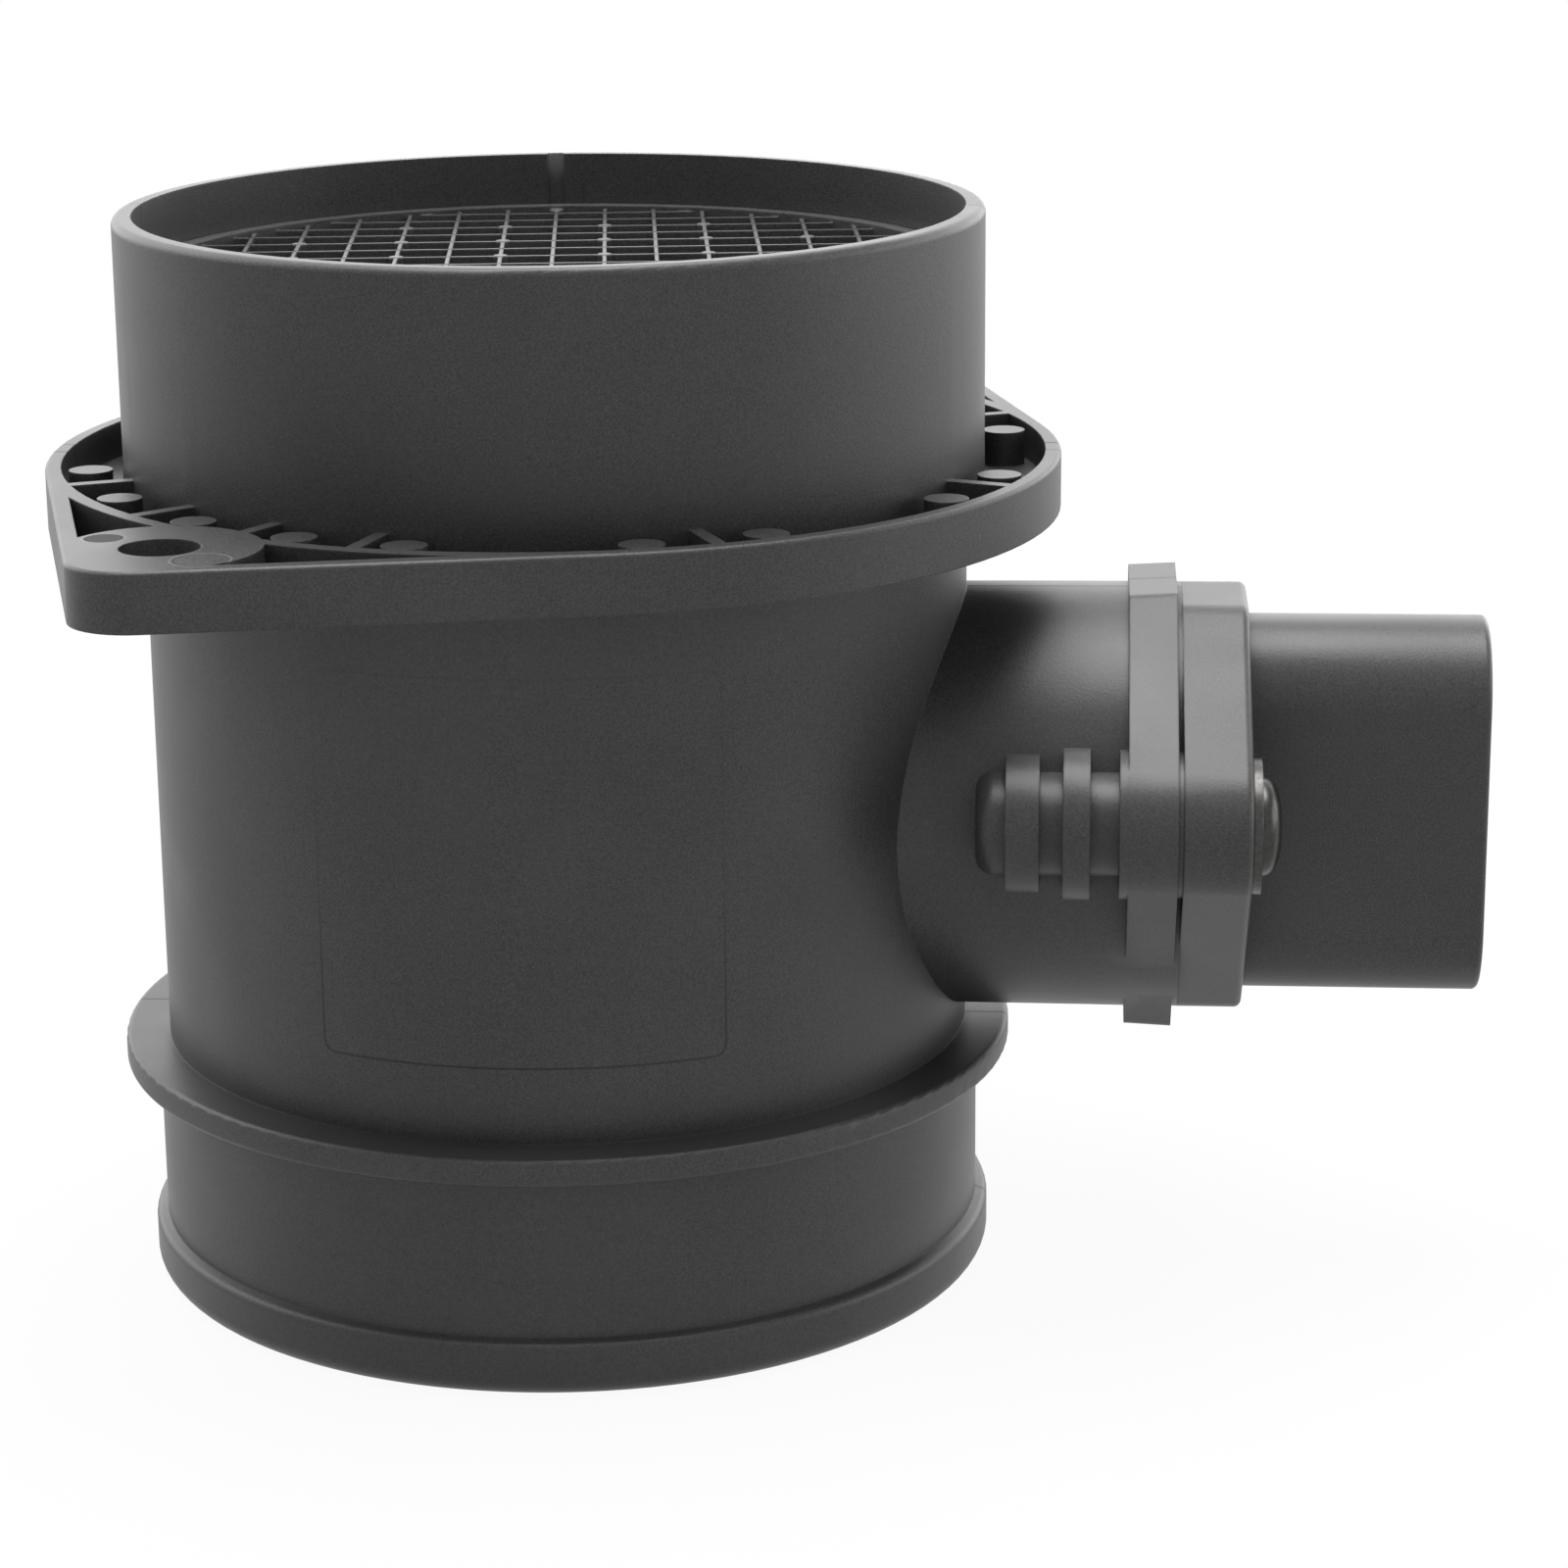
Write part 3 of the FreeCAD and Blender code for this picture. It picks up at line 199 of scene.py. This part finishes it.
class Finish:
    """Node tree of one material or of the world, built by adding nodes to it."""

    def __init__(self, tree):
        self.tree = tree
        tree.nodes.clear()

    def node(self, kind, settings=None, **inputs):
        """Adds a node: its settings come first, then the values or links of its input sockets."""
        made = self.tree.nodes.new(kind)
        for key, value in (settings or {}).items():
            setattr(made, key, value)
        for name, value in inputs.items():
            numbered = name[0] == "i" and name[1:].isdigit()
            socket = made.inputs[int(name[1:]) if numbered else name.replace("_", " ")]
            if isinstance(value, Wire):
                self.tree.links.new(value.socket, socket)
            else:
                socket.default_value = value
        return made

    def out(self, node, name=0):
        return Wire(self, node.outputs[name])

    def math(self, operation, *values):
        inputs = {"i%d" % i: value for i, value in enumerate(values)}
        return self.out(self.node("ShaderNodeMath", {"operation": operation}, **inputs))

    def place(self):
        return self.out(self.node("ShaderNodeTexCoord"), "Object")

    def noise(self, size, detail=2.0, rough=0.5, vector=None, distortion=0.0):
        """Smooth noise from 0 to 1 whose blobs are about size metres across."""
        made = self.node("ShaderNodeTexNoise", None, Vector=vector or self.place(), Scale=1.0 / size,
                         Detail=detail, Roughness=rough, Distortion=distortion)
        return self.out(made, "Fac")

    def cells(self, size):
        """Distance to the nearest of scattered points about size metres apart, from 0 to about 1."""
        made = self.node("ShaderNodeTexVoronoi", None, Vector=self.place(), Scale=1.0 / size)
        return self.out(made, "Distance")

    def ramp(self, value, low, high):
        """0 below low, 1 above high, and smooth between them."""
        made = self.node("ShaderNodeMapRange", {"interpolation_type": "SMOOTHSTEP"}, Value=value,
                         From_Min=low, From_Max=high)
        return self.out(made)

    def mix(self, factor, a, b):
        made = self.node("ShaderNodeMix", {"data_type": "RGBA"}, i0=factor, i6=a, i7=b)
        return self.out(made, 2)

    def length(self, a, b):
        """Square root of the sum of two squares."""
        return self.math("SQRT", a * a + b * b)

    def rounded(self, radius):
        """Normal that turns gradually across a sharp edge, and how much it has turned: 0 on flat faces
        and on edges that look down. This second value masks the painted highlight on upward edges."""
        normal = self.out(self.node("ShaderNodeBevel", {"samples": ROUND_SAMPLES}, Radius=radius))
        plain = self.out(self.node("ShaderNodeNewGeometry"), "Normal")
        alike = self.node("ShaderNodeVectorMath", {"operation": "DOT_PRODUCT"}, i0=normal, i1=plain)
        upward = self.out(self.node("ShaderNodeSeparateXYZ", None, Vector=normal), "Z")
        return normal, (1.0 - self.out(alike, "Value")) * self.ramp(upward, *EDGE_UPWARD)

    def bump(self, height, strength, distance, normal=None):
        inputs = {"Height": height, "Strength": strength, "Distance": distance}
        if normal is not None:
            inputs["Normal"] = normal
        return self.out(self.node("ShaderNodeBump", None, **inputs), "Normal")


class Place:
    """Where a point of the surface is, in millimetres and, round the tube's axis, in radians."""

    def __init__(self, f):
        apart = f.node("ShaderNodeSeparateXYZ", None, Vector=f.place())
        self.x, self.y, self.z = (f.out(apart, name) * (1.0 / MM) for name in "XYZ")
        self.radius = f.length(self.x, self.y)
        self.azimuth = f.math("ARCTAN2", self.y, self.x)


def grey(level, tint=(1.0, 1.0, 1.0)):
    return (level * tint[0], level * tint[1], level * tint[2], 1.0)


def material(name):
    made = bpy.data.materials.new(name)
    made.use_nodes = True
    return made, Finish(made.node_tree)


def surface(finish, **inputs):
    shader = finish.node("ShaderNodeBsdfPrincipled", None, **inputs)
    finish.node("ShaderNodeOutputMaterial", None, Surface=finish.out(shader))


def insert_line(f, around):
    """Fine line round the mould's insert on the body's front: distance to a rounded rectangle in
    azimuth times radius and in height."""
    across = f.math("ABSOLUTE", (around.azimuth - INSERT_AZIMUTH) * BODY_R)
    up = f.math("ABSOLUTE", around.z - INSERT_Z)
    out_across = f.math("MAXIMUM", across - (INSERT_HALF_WIDTH - INSERT_CORNER), 0.0)
    out_up = f.math("MAXIMUM", up - (INSERT_HALF_HEIGHT - INSERT_CORNER), 0.0)
    gap = f.math("ABSOLUTE", f.length(out_across, out_up) - INSERT_CORNER)
    on_body = f.ramp(around.radius, *INSIDE_BODY) * f.ramp(around.radius, *OUTSIDE_BODY)
    low = f.ramp(around.z, *INSERT_FADE) * 0.6 + 0.2
    return f.ramp(gap, LINE_WIDTH, LINE_WIDTH * 0.3) * on_body * low


def ejector_marks_and_painted_light(f, around):
    """Sunk rings that the ejector pins left beside the front bolt hole, painted shade inside them, and a
    painted highlight on their lips.
    """
    on_top = f.ramp(around.z, *LOBE_TOP_Z) * f.ramp(around.radius, *LOBE_TOP_R)
    dark, light = None, None
    for x, y, radius, sunk in EJECTOR_RINGS:
        away = f.length(around.x - x, around.y - y)
        ring = f.ramp(f.math("ABSOLUTE", away - radius), LINE_WIDTH * 1.8, LINE_WIDTH * 0.6)
        inside = f.math("MAXIMUM", ring, f.ramp(away, radius, radius - EJECTOR_SLOPE) * sunk)
        lip = f.ramp(f.math("ABSOLUTE", away - (radius + EJECTOR_LIP)), LINE_WIDTH * 1.2, LINE_WIDTH * 0.3)
        dark = inside if dark is None else f.math("MAXIMUM", dark, inside)
        light = lip if light is None else f.math("MAXIMUM", light, lip)
    return dark * on_top, light * on_top * 0.3


def rim_notches(f, around):
    """Short cracks across the flange's rim where the mould's slides meet."""
    on_rim = f.ramp(around.z, *FLANGE_RIM_Z) * f.ramp(around.radius, *FLANGE_RIM_WALL)
    gap = f.math("ABSOLUTE", around.azimuth - RIM_NOTCHES[0])
    other = f.math("ABSOLUTE", around.azimuth - RIM_NOTCHES[1])
    gap = f.math("MINIMUM", gap, other) * FLANGE_RIM_R
    return f.ramp(gap, LINE_WIDTH * 1.2, LINE_WIDTH * 0.4) * on_rim


def painted_key_highlight(f, around):
    """Painted highlight at the top of the key groove, fading down it."""
    across = f.math("ABSOLUTE", around.azimuth - KEY_AZIMUTH) * KEY_BORE_R
    in_groove = f.ramp(across, *KEY_SIDES) * f.ramp(around.radius, *KEY_FLOOR)
    in_groove = in_groove * f.ramp(around.radius, *KEY_MOUTH)
    return in_groove * f.ramp(around.z, *KEY_FOOT_Z) * (f.ramp(around.z, *KEY_HIGHLIGHT_Z) * 0.9 + 0.1)


def parting_line(f, around):
    """Where the mould's halves meet: the plane of the tube's and the socket's axes."""
    gap = f.math("ABSOLUTE", around.y)
    outside = f.ramp(around.radius, *PARTING_R)
    return f.ramp(gap, LINE_WIDTH * 0.8, LINE_WIDTH * 0.3) * outside * 0.8


def mould_marks_and_painted_light(f):
    """All marks of the mould: how dark each place is, with painted shade inside a sunk ejector ring, and
    how pale, which is a painted highlight in the key groove and on the ejector lips.
    """
    around = Place(f)
    dark, light = ejector_marks_and_painted_light(f, around)
    marks = f.math("MAXIMUM", insert_line(f, around), dark)
    marks = f.math("MAXIMUM", marks, rim_notches(f, around))
    marks = f.math("MAXIMUM", marks, parting_line(f, around))
    return marks, f.math("MAXIMUM", painted_key_highlight(f, around), light)


def moulded_plastic(name, level, rough, grain, depth, specular=0.4, marks=None):
    """Glass-filled nylon off a spark-eroded mould: pits a few tenths of a millimetre apart, a fine
    speckle of filler at the surface, and broad patches that the flow of the melt left."""
    made, f = material(name)
    patches = f.noise(PATCHES, 3.0, 0.55)
    speckle = f.noise(SPECKLE, 1.0, 0.5)
    mottle = f.noise(MOTTLE, 2.0, 0.6)
    fibres = f.ramp(f.cells(FIBRES), 0.10, 0.02)
    shade = f.ramp(patches, 0.3, 0.7) * 0.15 + f.ramp(speckle, 0.25, 0.75) * 0.65
    shade = shade + mottle * 0.2 + fibres * 0.2
    colour = f.mix(shade, grey(level * 0.45), grey(level * 1.55))
    pits = f.cells(grain)
    fine = f.noise(grain * 0.45, 2.0, 0.6)
    relief = pits * 0.7 + fine * 0.5
    polish = f.ramp(patches, 0.45, 0.75) * 0.04
    roughness = speckle * 0.12 + (rough - 0.06) - polish
    soft_edge, turned = f.rounded(EDGE_ROUND)
    # Upward edges get lighter: a painted highlight, made patchy as wear
    edge_wear_and_highlight = f.ramp(turned, 0.01, 0.08) * f.ramp(mottle, 0.3, 0.55)
    colour = f.mix(edge_wear_and_highlight * 0.35, colour, grey(level * 2.2))
    if marks:
        mould_lines_and_painted_shade, painted_highlight = marks(f)
        # Dark mould lines with painted shade inside the sunk ejector ring, then the painted highlight of
        # the key groove and ejector lips
        colour = f.mix(mould_lines_and_painted_shade * 0.6, colour, grey(level * 0.2))
        colour = f.mix(painted_highlight * 0.5, colour, grey(0.30))
        roughness = roughness + mould_lines_and_painted_shade * 0.4
    surface(f, Base_Color=colour, Roughness=roughness, Specular_IOR_Level=specular, IOR=1.5,
            Normal=f.bump(relief, 1.0, depth, soft_edge))
    return made


def plated_steel(name, level, rough, tint=(1.0, 0.98, 0.95)):
    """Cold-headed steel with a dark zinc plating: fine turned marks, small dull spots."""
    made, f = material(name)
    spots = f.noise(0.5 * MM, 3.0, 0.6)
    fine = f.noise(0.12 * MM, 2.0, 0.5)
    soft_edge, turned = f.rounded(STEEL_ROUND)
    colour = f.mix(f.ramp(spots, 0.35, 0.7), grey(level, tint), grey(level * 0.75, tint))
    # Upward edges of the screws and washers are lightened: a painted highlight
    colour = f.mix(f.ramp(turned, 0.01, 0.15) * 0.6, colour, grey(level * 3.0, tint))
    roughness = spots * 0.10 + fine * 0.10 + (rough - 0.10)
    surface(f, Base_Color=colour, Roughness=roughness, Metallic=1.0,
            Normal=f.bump(fine, 0.5, 0.004 * MM, soft_edge))
    return made


def smooth_rubber(name):
    """Moulded nitrile rubber with a faint bloom."""
    made, f = material(name)
    bloom = f.noise(2.5 * MM, 3.0, 0.6)
    colour = f.mix(f.ramp(bloom, 0.4, 0.75), grey(0.012), grey(0.03))
    surface(f, Base_Color=colour, Roughness=bloom * 0.2 + 0.35,
            Normal=f.bump(f.noise(0.2 * MM), 0.5, 0.01 * MM))
    return made


def bright_metal(name, level, rough, tint, streak=0.1):
    """Stamped or drawn metal with faint streaks along +X and small dull patches."""
    made, f = material(name)
    stretched = f.out(f.node("ShaderNodeMapping", None, Vector=f.place(), Scale=(0.06, 1.0, 1.0)), "Vector")
    streaks = f.noise(0.12 * MM, 2.0, 0.6, stretched)
    dull = f.noise(1.2 * MM, 3.0, 0.6)
    colour = f.mix(f.ramp(dull, 0.35, 0.75), grey(level, tint), grey(level * 0.78, tint))
    surface(f, Base_Color=colour, Roughness=streaks * streak + dull * 0.12 + (rough - 0.1), Metallic=1.0,
            Normal=f.bump(streaks, 0.5, 0.004 * MM))
    return made


def fired_ceramic(name):
    """Alumina board: off-white, with fine grain and a slightly uneven glaze."""
    made, f = material(name)
    grain = f.noise(0.25 * MM, 3.0, 0.6)
    colour = f.mix(grain, grey(0.72, (1.0, 0.99, 0.95)), grey(0.86, (1.0, 0.99, 0.95)))
    surface(f, Base_Color=colour, Roughness=grain * 0.2 + 0.3, Normal=f.bump(grain, 0.4, 0.01 * MM))
    return made


def polished_silicon(name):
    """Dark blue-grey silicon with a faint film of colour."""
    made, f = material(name)
    film = f.noise(0.8 * MM, 1.0, 0.5)
    colour = f.mix(film, (0.05, 0.06, 0.10, 1.0), (0.10, 0.09, 0.16, 1.0))
    surface(f, Base_Color=colour, Roughness=film * 0.08 + 0.12, Metallic=0.3)
    return made


def glazed_bead(name):
    """Brown glass coat of the thermistor bead."""
    made, f = material(name)
    swirl = f.noise(0.9 * MM, 3.0, 0.6, distortion=0.6)
    colour = f.mix(swirl, (0.10, 0.035, 0.02, 1.0), (0.22, 0.09, 0.045, 1.0))
    surface(f, Base_Color=colour, Roughness=swirl * 0.1 + 0.1, Coat_Weight=0.6, Coat_Roughness=0.05)
    return made


def finishes():
    """Every finish by the record's slot."""
    return {
        "housing_plastic": moulded_plastic("housing_plastic", *BLACK, 0.22 * MM, 0.012 * MM, 0.35,
                                           mould_marks_and_painted_light),
        "sensor_plastic": moulded_plastic("sensor_plastic", *BLACK, 0.22 * MM, 0.012 * MM, 0.35),
        "grid_plastic": moulded_plastic("grid_plastic", 0.050, 0.40, 0.30 * MM, 0.008 * MM),
        "cover_plastic": moulded_plastic("cover_plastic", *BLACK, 0.25 * MM, 0.010 * MM),
        "seal_rubber": smooth_rubber("seal_rubber"),
        "screw_steel": plated_steel("screw_steel", 0.055, 0.30),
        "washer_steel": plated_steel("washer_steel", 0.065, 0.36),
        "pin_metal": bright_metal("pin_metal", 0.78, 0.28, (1.0, 0.97, 0.9)),
        "plate_aluminium": bright_metal("plate_aluminium", 0.80, 0.36, (0.98, 0.99, 1.0)),
        "board_ceramic": fired_ceramic("board_ceramic"),
        "chip_plastic": moulded_plastic("chip_plastic", 0.022, 0.40, 0.10 * MM, 0.006 * MM),
        "silicon": polished_silicon("silicon"),
        "wire_aluminium": bright_metal("wire_aluminium", 0.85, 0.25, (0.99, 0.99, 1.0)),
        "bead_glass": glazed_bead("bead_glass"),
        "lead_metal": bright_metal("lead_metal", 0.66, 0.32, (1.0, 0.97, 0.93)),
    }


def longest_side(faces):
    return max(side.calc_length() for face in faces for side in face.edges)


def dressed(node, finish):
    """Smooth-shaded copy of a node that stands for it: its loose triangles are joined first, and those on
    its roundings are turned to run with them."""
    mesh = node.data.copy()
    mesh.materials.clear()
    shape = bmesh.new()
    shape.from_mesh(mesh)
    bmesh.ops.remove_doubles(shape, verts=shape.verts, dist=JOIN_GAP)
    bmesh.ops.dissolve_degenerate(shape, edges=shape.edges, dist=SLIVER)
    for _ in range(TRIANGLE_PASSES):
        curved = [edge for edge in shape.edges
                  if len(edge.link_faces) == 2
                  and FLAT_ANGLE < edge.calc_face_angle(0.0) < STEEP_ANGLE
                  and longest_side(edge.link_faces) < SHORT_SIDE]
        beside = list({face for edge in curved for face in edge.link_faces})
        bmesh.ops.beautify_fill(shape, faces=beside, edges=curved, use_restrict_tag=False, method="ANGLE")
    placed(node.name + "_finished", mesh, shape, finish, node.name)


def placed(name, mesh, shape, finish, stands_for):
    """Puts a shape into its mesh, smooth but for its sharp edges, and rides it on the part."""
    shape.normal_update()
    for face in shape.faces:
        face.smooth = True
    for edge in shape.edges:
        edge.smooth = len(edge.link_faces) == 2 and edge.calc_face_angle(0.0) < CRISP_ANGLE
    shape.to_mesh(mesh)
    shape.free()
    mesh.materials.append(finish)
    piece = bpy.data.objects.new(name, mesh)
    bpy.context.scene.collection.objects.link(piece)
    even = piece.modifiers.new("even_shading", "WEIGHTED_NORMAL")
    even.mode = "FACE_AREA"
    even.keep_sharp = True
    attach(piece, "root")
    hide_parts(stands_for)


def turned_rows(rows):
    """Points and faces of a closed turned surface: row k gives the radii round the axis and the height
    along it; neighbours in a row and between rows make the faces, and the end rows are single points."""
    radii = np.array([np.broadcast_to(row[0], TURN_STEPS) for row in rows])
    heights = np.array([np.broadcast_to(row[1], TURN_STEPS) for row in rows])
    turn = np.arange(TURN_STEPS) * 2 * np.pi / TURN_STEPS
    points = np.stack([radii * np.cos(turn), radii * np.sin(turn), heights], -1).reshape(-1, 3)
    across = np.arange(TURN_STEPS)
    along = np.arange(len(rows) - 1)[:, None] * TURN_STEPS
    beside = (across + 1) % TURN_STEPS
    above = along + TURN_STEPS
    faces = np.stack([along + across, along + beside, above + beside, above + across], -1)
    return points, faces.reshape(-1, 4)


def joined(name, parts, finish, stands_for):
    """One piece from several sets of points and faces, in millimetres."""
    points = np.concatenate([part[0] for part in parts]) * MM
    starts = np.cumsum([0] + [len(part[0]) for part in parts[:-1]])
    faces = np.concatenate([part[1] + start for part, start in zip(parts, starts)])
    mesh = bpy.data.meshes.new(name)
    mesh.from_pydata(points.tolist(), [], faces.tolist())
    shape = bmesh.new()
    shape.from_mesh(mesh)
    bmesh.ops.remove_doubles(shape, verts=shape.verts, dist=NEW_PIECE_GAP)
    placed(name, mesh, shape, finish, stands_for)


def screw_heads(finish, slot):
    """Two screws: shank, and a head whose dome is a superellipse turned round the screw's axis, with a
    recess whose radius is R + a cos(6 angle) round a small pin."""
    low, high = (np.array(corner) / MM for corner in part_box("mounting_screws"))
    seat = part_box("screw_washers")[1][0] / MM
    crown = high[0] - seat
    tip = low[0] - seat
    angle = np.arange(TURN_STEPS) * 2 * np.pi / TURN_STEPS
    lobed = RECESS_R + RECESS_LOBE * np.cos(6 * angle)
    power = 2 / SCREW_DOME_POWER
    rise = np.linspace(0, math.acos((SCREW_DOME_END_R / SCREW_HEAD_R) ** (1 / power)), SCREW_DOME_STEPS)
    edge = crown * (1 - (lobed / SCREW_HEAD_R) ** SCREW_DOME_POWER) ** (1 / SCREW_DOME_POWER)
    rows = [(0, tip), (SCREW_POINT_R, tip), (SCREW_R, tip + SCREW_POINT_H), (SCREW_R, 0), (SCREW_HEAD_R, 0)]
    rows += [(SCREW_HEAD_R * math.cos(a) ** power, crown * math.sin(a) ** power) for a in rise[1:]]
    floor = crown - RECESS_DEPTH
    pin_top = crown - RECESS_PIN_DROP
    rows += [(lobed, edge), (lobed * RECESS_TAPER, floor)]
    rows += [(RECESS_PIN_R, floor), (RECESS_PIN_R, pin_top), (0, pin_top)]
    points, faces = turned_rows(rows)
    parts = []
    for y, z in SCREWS:
        along = np.stack([points[:, 2] + seat, points[:, 0] + y, points[:, 1] + z], -1)
        parts.append((along, faces))
    joined("screws_domed", parts, finish, "mounting_screws")


def flow_lattice(finish, slot):
    """Ring, plates along both ways of a turned square net cut to the ring, and round pads at crossings."""
    low, high = (np.array(corner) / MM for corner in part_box("flow_grid"))
    outer = high[0]
    inner = outer - GRID_RING_T
    top = high[2]
    ring_rows = [(inner, low[2]), (outer, low[2]), (outer, top), (inner, top), (inner, low[2])]
    parts = [turned_rows(ring_rows)]
    plate_top = top - GRID_PLATE_DROP
    reach = int(inner // GRID_PITCH)
    places = np.arange(-reach, reach + 1) * GRID_PITCH
    halves = np.sqrt((inner + GRID_INTO_RING) ** 2 - places ** 2)
    corners = np.array([(x, y, z) for z in (-1, 1) for y in (-1, 1) for x in (-1, 1)], float)
    sides = np.array([(0, 2, 3, 1), (4, 5, 7, 6), (0, 1, 5, 4), (2, 6, 7, 3), (0, 4, 6, 2), (1, 3, 7, 5)])
    middle = plate_top - GRID_PLATE_H / 2
    thin = GRID_PLATE_T / 2
    for place, half in zip(places, halves):
        for size, centre in (((half, thin), (0, place)), ((thin, half), (place, 0))):
            box = corners * (size[0], size[1], GRID_PLATE_H / 2) + (centre[0], centre[1], middle)
            parts.append((box, sides))
    pad_top = plate_top + GRID_PAD_RISE
    pad_foot = pad_top - GRID_PAD_H
    pad_rows = [(0, pad_foot), (GRID_PAD_R, pad_foot), (GRID_PAD_R, pad_top - GRID_PAD_EDGE)]
    pad_rows += [(GRID_PAD_R - GRID_PAD_EDGE, pad_top), (0, pad_top)]
    pad, pad_faces = turned_rows(pad_rows)
    odd = places[(np.arange(-reach, reach + 1) % 2) == 1]
    spots = [(x, y) for x in odd for y in odd if math.hypot(x, y) < inner - GRID_PITCH / 2]
    for x, y in spots + [(0.0, inner - GRID_INTO_RING)]:
        parts.append((pad + (x, y, 0), pad_faces))
    cos, sin = math.cos(GRID_TURN), math.sin(GRID_TURN)
    turn = np.array([[cos, sin, 0], [-sin, cos, 0], [0, 0, 1]])
    parts = [(points @ turn, faces) for points, faces in parts]
    joined("flow_lattice", parts, finish, "flow_grid")


def seen_directly(f, to_camera=1.0, in_gloss=1.0):
    """Share of the plain surroundings that a ray sees: to the camera, and in gloss and through glass."""
    rays = f.node("ShaderNodeLightPath")
    gloss = f.math("MAXIMUM", f.out(rays, "Is Glossy Ray"), f.out(rays, "Is Transmission Ray"))
    return f.math("MAXIMUM", f.out(rays, "Is Camera Ray") * to_camera, gloss * in_gloss)


def pale_floor():
    """White floor that glows as the camera sees it, so that it joins the white surroundings."""
    made, f = material("floor_white")
    diffuse = f.node("ShaderNodeBsdfDiffuse", None, Color=grey(FLOOR_WHITE))
    glow = f.node("ShaderNodeEmission", None, Color=grey(1.0), Strength=1.0)
    spot = f.node("ShaderNodeSeparateXYZ", None, Vector=f.place())
    away = f.ramp(f.length(f.out(spot, "X"), f.out(spot, "Y")), *FLOOR_FADE)
    seen = seen_directly(f, away * (1.0 - FLOOR_GLOW_SEEN) + FLOOR_GLOW_SEEN, FLOOR_GLOW_IN_GLOSS)
    both = f.node("ShaderNodeMixShader", None, i0=seen, i1=f.out(diffuse), i2=f.out(glow))
    f.node("ShaderNodeOutputMaterial", None, Surface=f.out(both))
    reach = FLOOR_REACH
    mesh = bpy.data.meshes.new("floor")
    corners = [(-reach, -reach, 0), (reach, -reach, 0), (reach, reach, 0), (-reach, reach, 0)]
    mesh.from_pydata(corners, [], [(0, 1, 2, 3)])
    mesh.materials.append(made)
    floor = bpy.data.objects.new("floor", mesh)
    bpy.context.scene.collection.objects.link(floor)
    floor.location.z = -FLOOR_DROP


def white_surroundings():
    """World that is white to the camera and in gloss, and lights the rest more weakly."""
    world = bpy.data.worlds.new("studio")
    bpy.context.scene.world = world
    world.use_nodes = True
    f = Finish(world.node_tree)
    light = f.node("ShaderNodeBackground", None, Color=grey(1.0), Strength=WORLD_LIGHT)
    white = f.node("ShaderNodeBackground", None, Color=grey(1.0), Strength=1.0)
    both = f.node("ShaderNodeMixShader", None, i0=seen_directly(f), i1=f.out(light), i2=f.out(white))
    f.node("ShaderNodeOutputWorld", None, Surface=f.out(both))


def soft_lamps():
    """Rectangular lamps that the camera doesn't see."""
    for name, (place, width, height, radiance) in LAMPS.items():
        data = bpy.data.lights.new(name, "AREA")
        data.shape = "RECTANGLE"
        data.size = width
        data.size_y = height
        data.energy = radiance * math.pi * width * height
        lamp = bpy.data.objects.new(name, data)
        bpy.context.scene.collection.objects.link(lamp)
        back = np.array(place) - LAMPS_AIM
        lamp.matrix_world = looking(np.array(place), -back / np.linalg.norm(back))
        lamp.visible_camera = False


def looking(place, ahead, roll=0.0):
    """Matrix of something at a place that looks ahead along its own -Z, rolled by degrees."""
    across = np.cross(ahead, (0, 0, 1.0))
    across /= np.linalg.norm(across)
    up = np.cross(across, ahead)
    turn = math.radians(roll)
    side = across * math.cos(turn) - up * math.sin(turn)
    top = up * math.cos(turn) + across * math.sin(turn)
    columns = np.column_stack([side, top, -ahead])
    matrix = np.eye(4)
    matrix[:3, :3] = columns
    matrix[:3, 3] = place
    return Matrix(matrix.tolist())


def photograph_camera():
    """The camera that took the photograph."""
    data = bpy.data.cameras.new("camera")
    data.sensor_width = SENSOR_WIDTH
    data.lens = SENSOR_WIDTH * FOCAL_PIXELS / PICTURE_PIXELS
    data.clip_start = CLIP_START
    camera = bpy.data.objects.new("camera", data)
    bpy.context.scene.collection.objects.link(camera)
    heading = math.radians(CAMERA_HEADING)
    tilt = math.radians(CAMERA_TILT)
    level = math.cos(tilt)
    ahead = np.array([-math.sin(heading) * level, math.cos(heading) * level, -math.sin(tilt)])
    camera.matrix_world = looking(CAMERA_PLACE, ahead, CAMERA_ROLL)
    bpy.context.scene.camera = camera


def dress_nodes():
    """Gives every node its finish, on a smooth copy or on a piece of its own."""
    looks = finishes()
    slots = {s["node"]: s["material_slot"] for s in frame["record"]["subparts"]}
    own = {"mounting_screws": screw_heads, "flow_grid": flow_lattice}
    for name, node in frame["nodes"].items():
        look = looks[slots[name]]
        if name in own:
            own[name](look, slots[name])
        else:
            dressed(node, look)


dress_nodes()
pale_floor()
white_surroundings()
soft_lamps()
photograph_camera()
bpy.context.scene.view_settings.view_transform = "Standard"
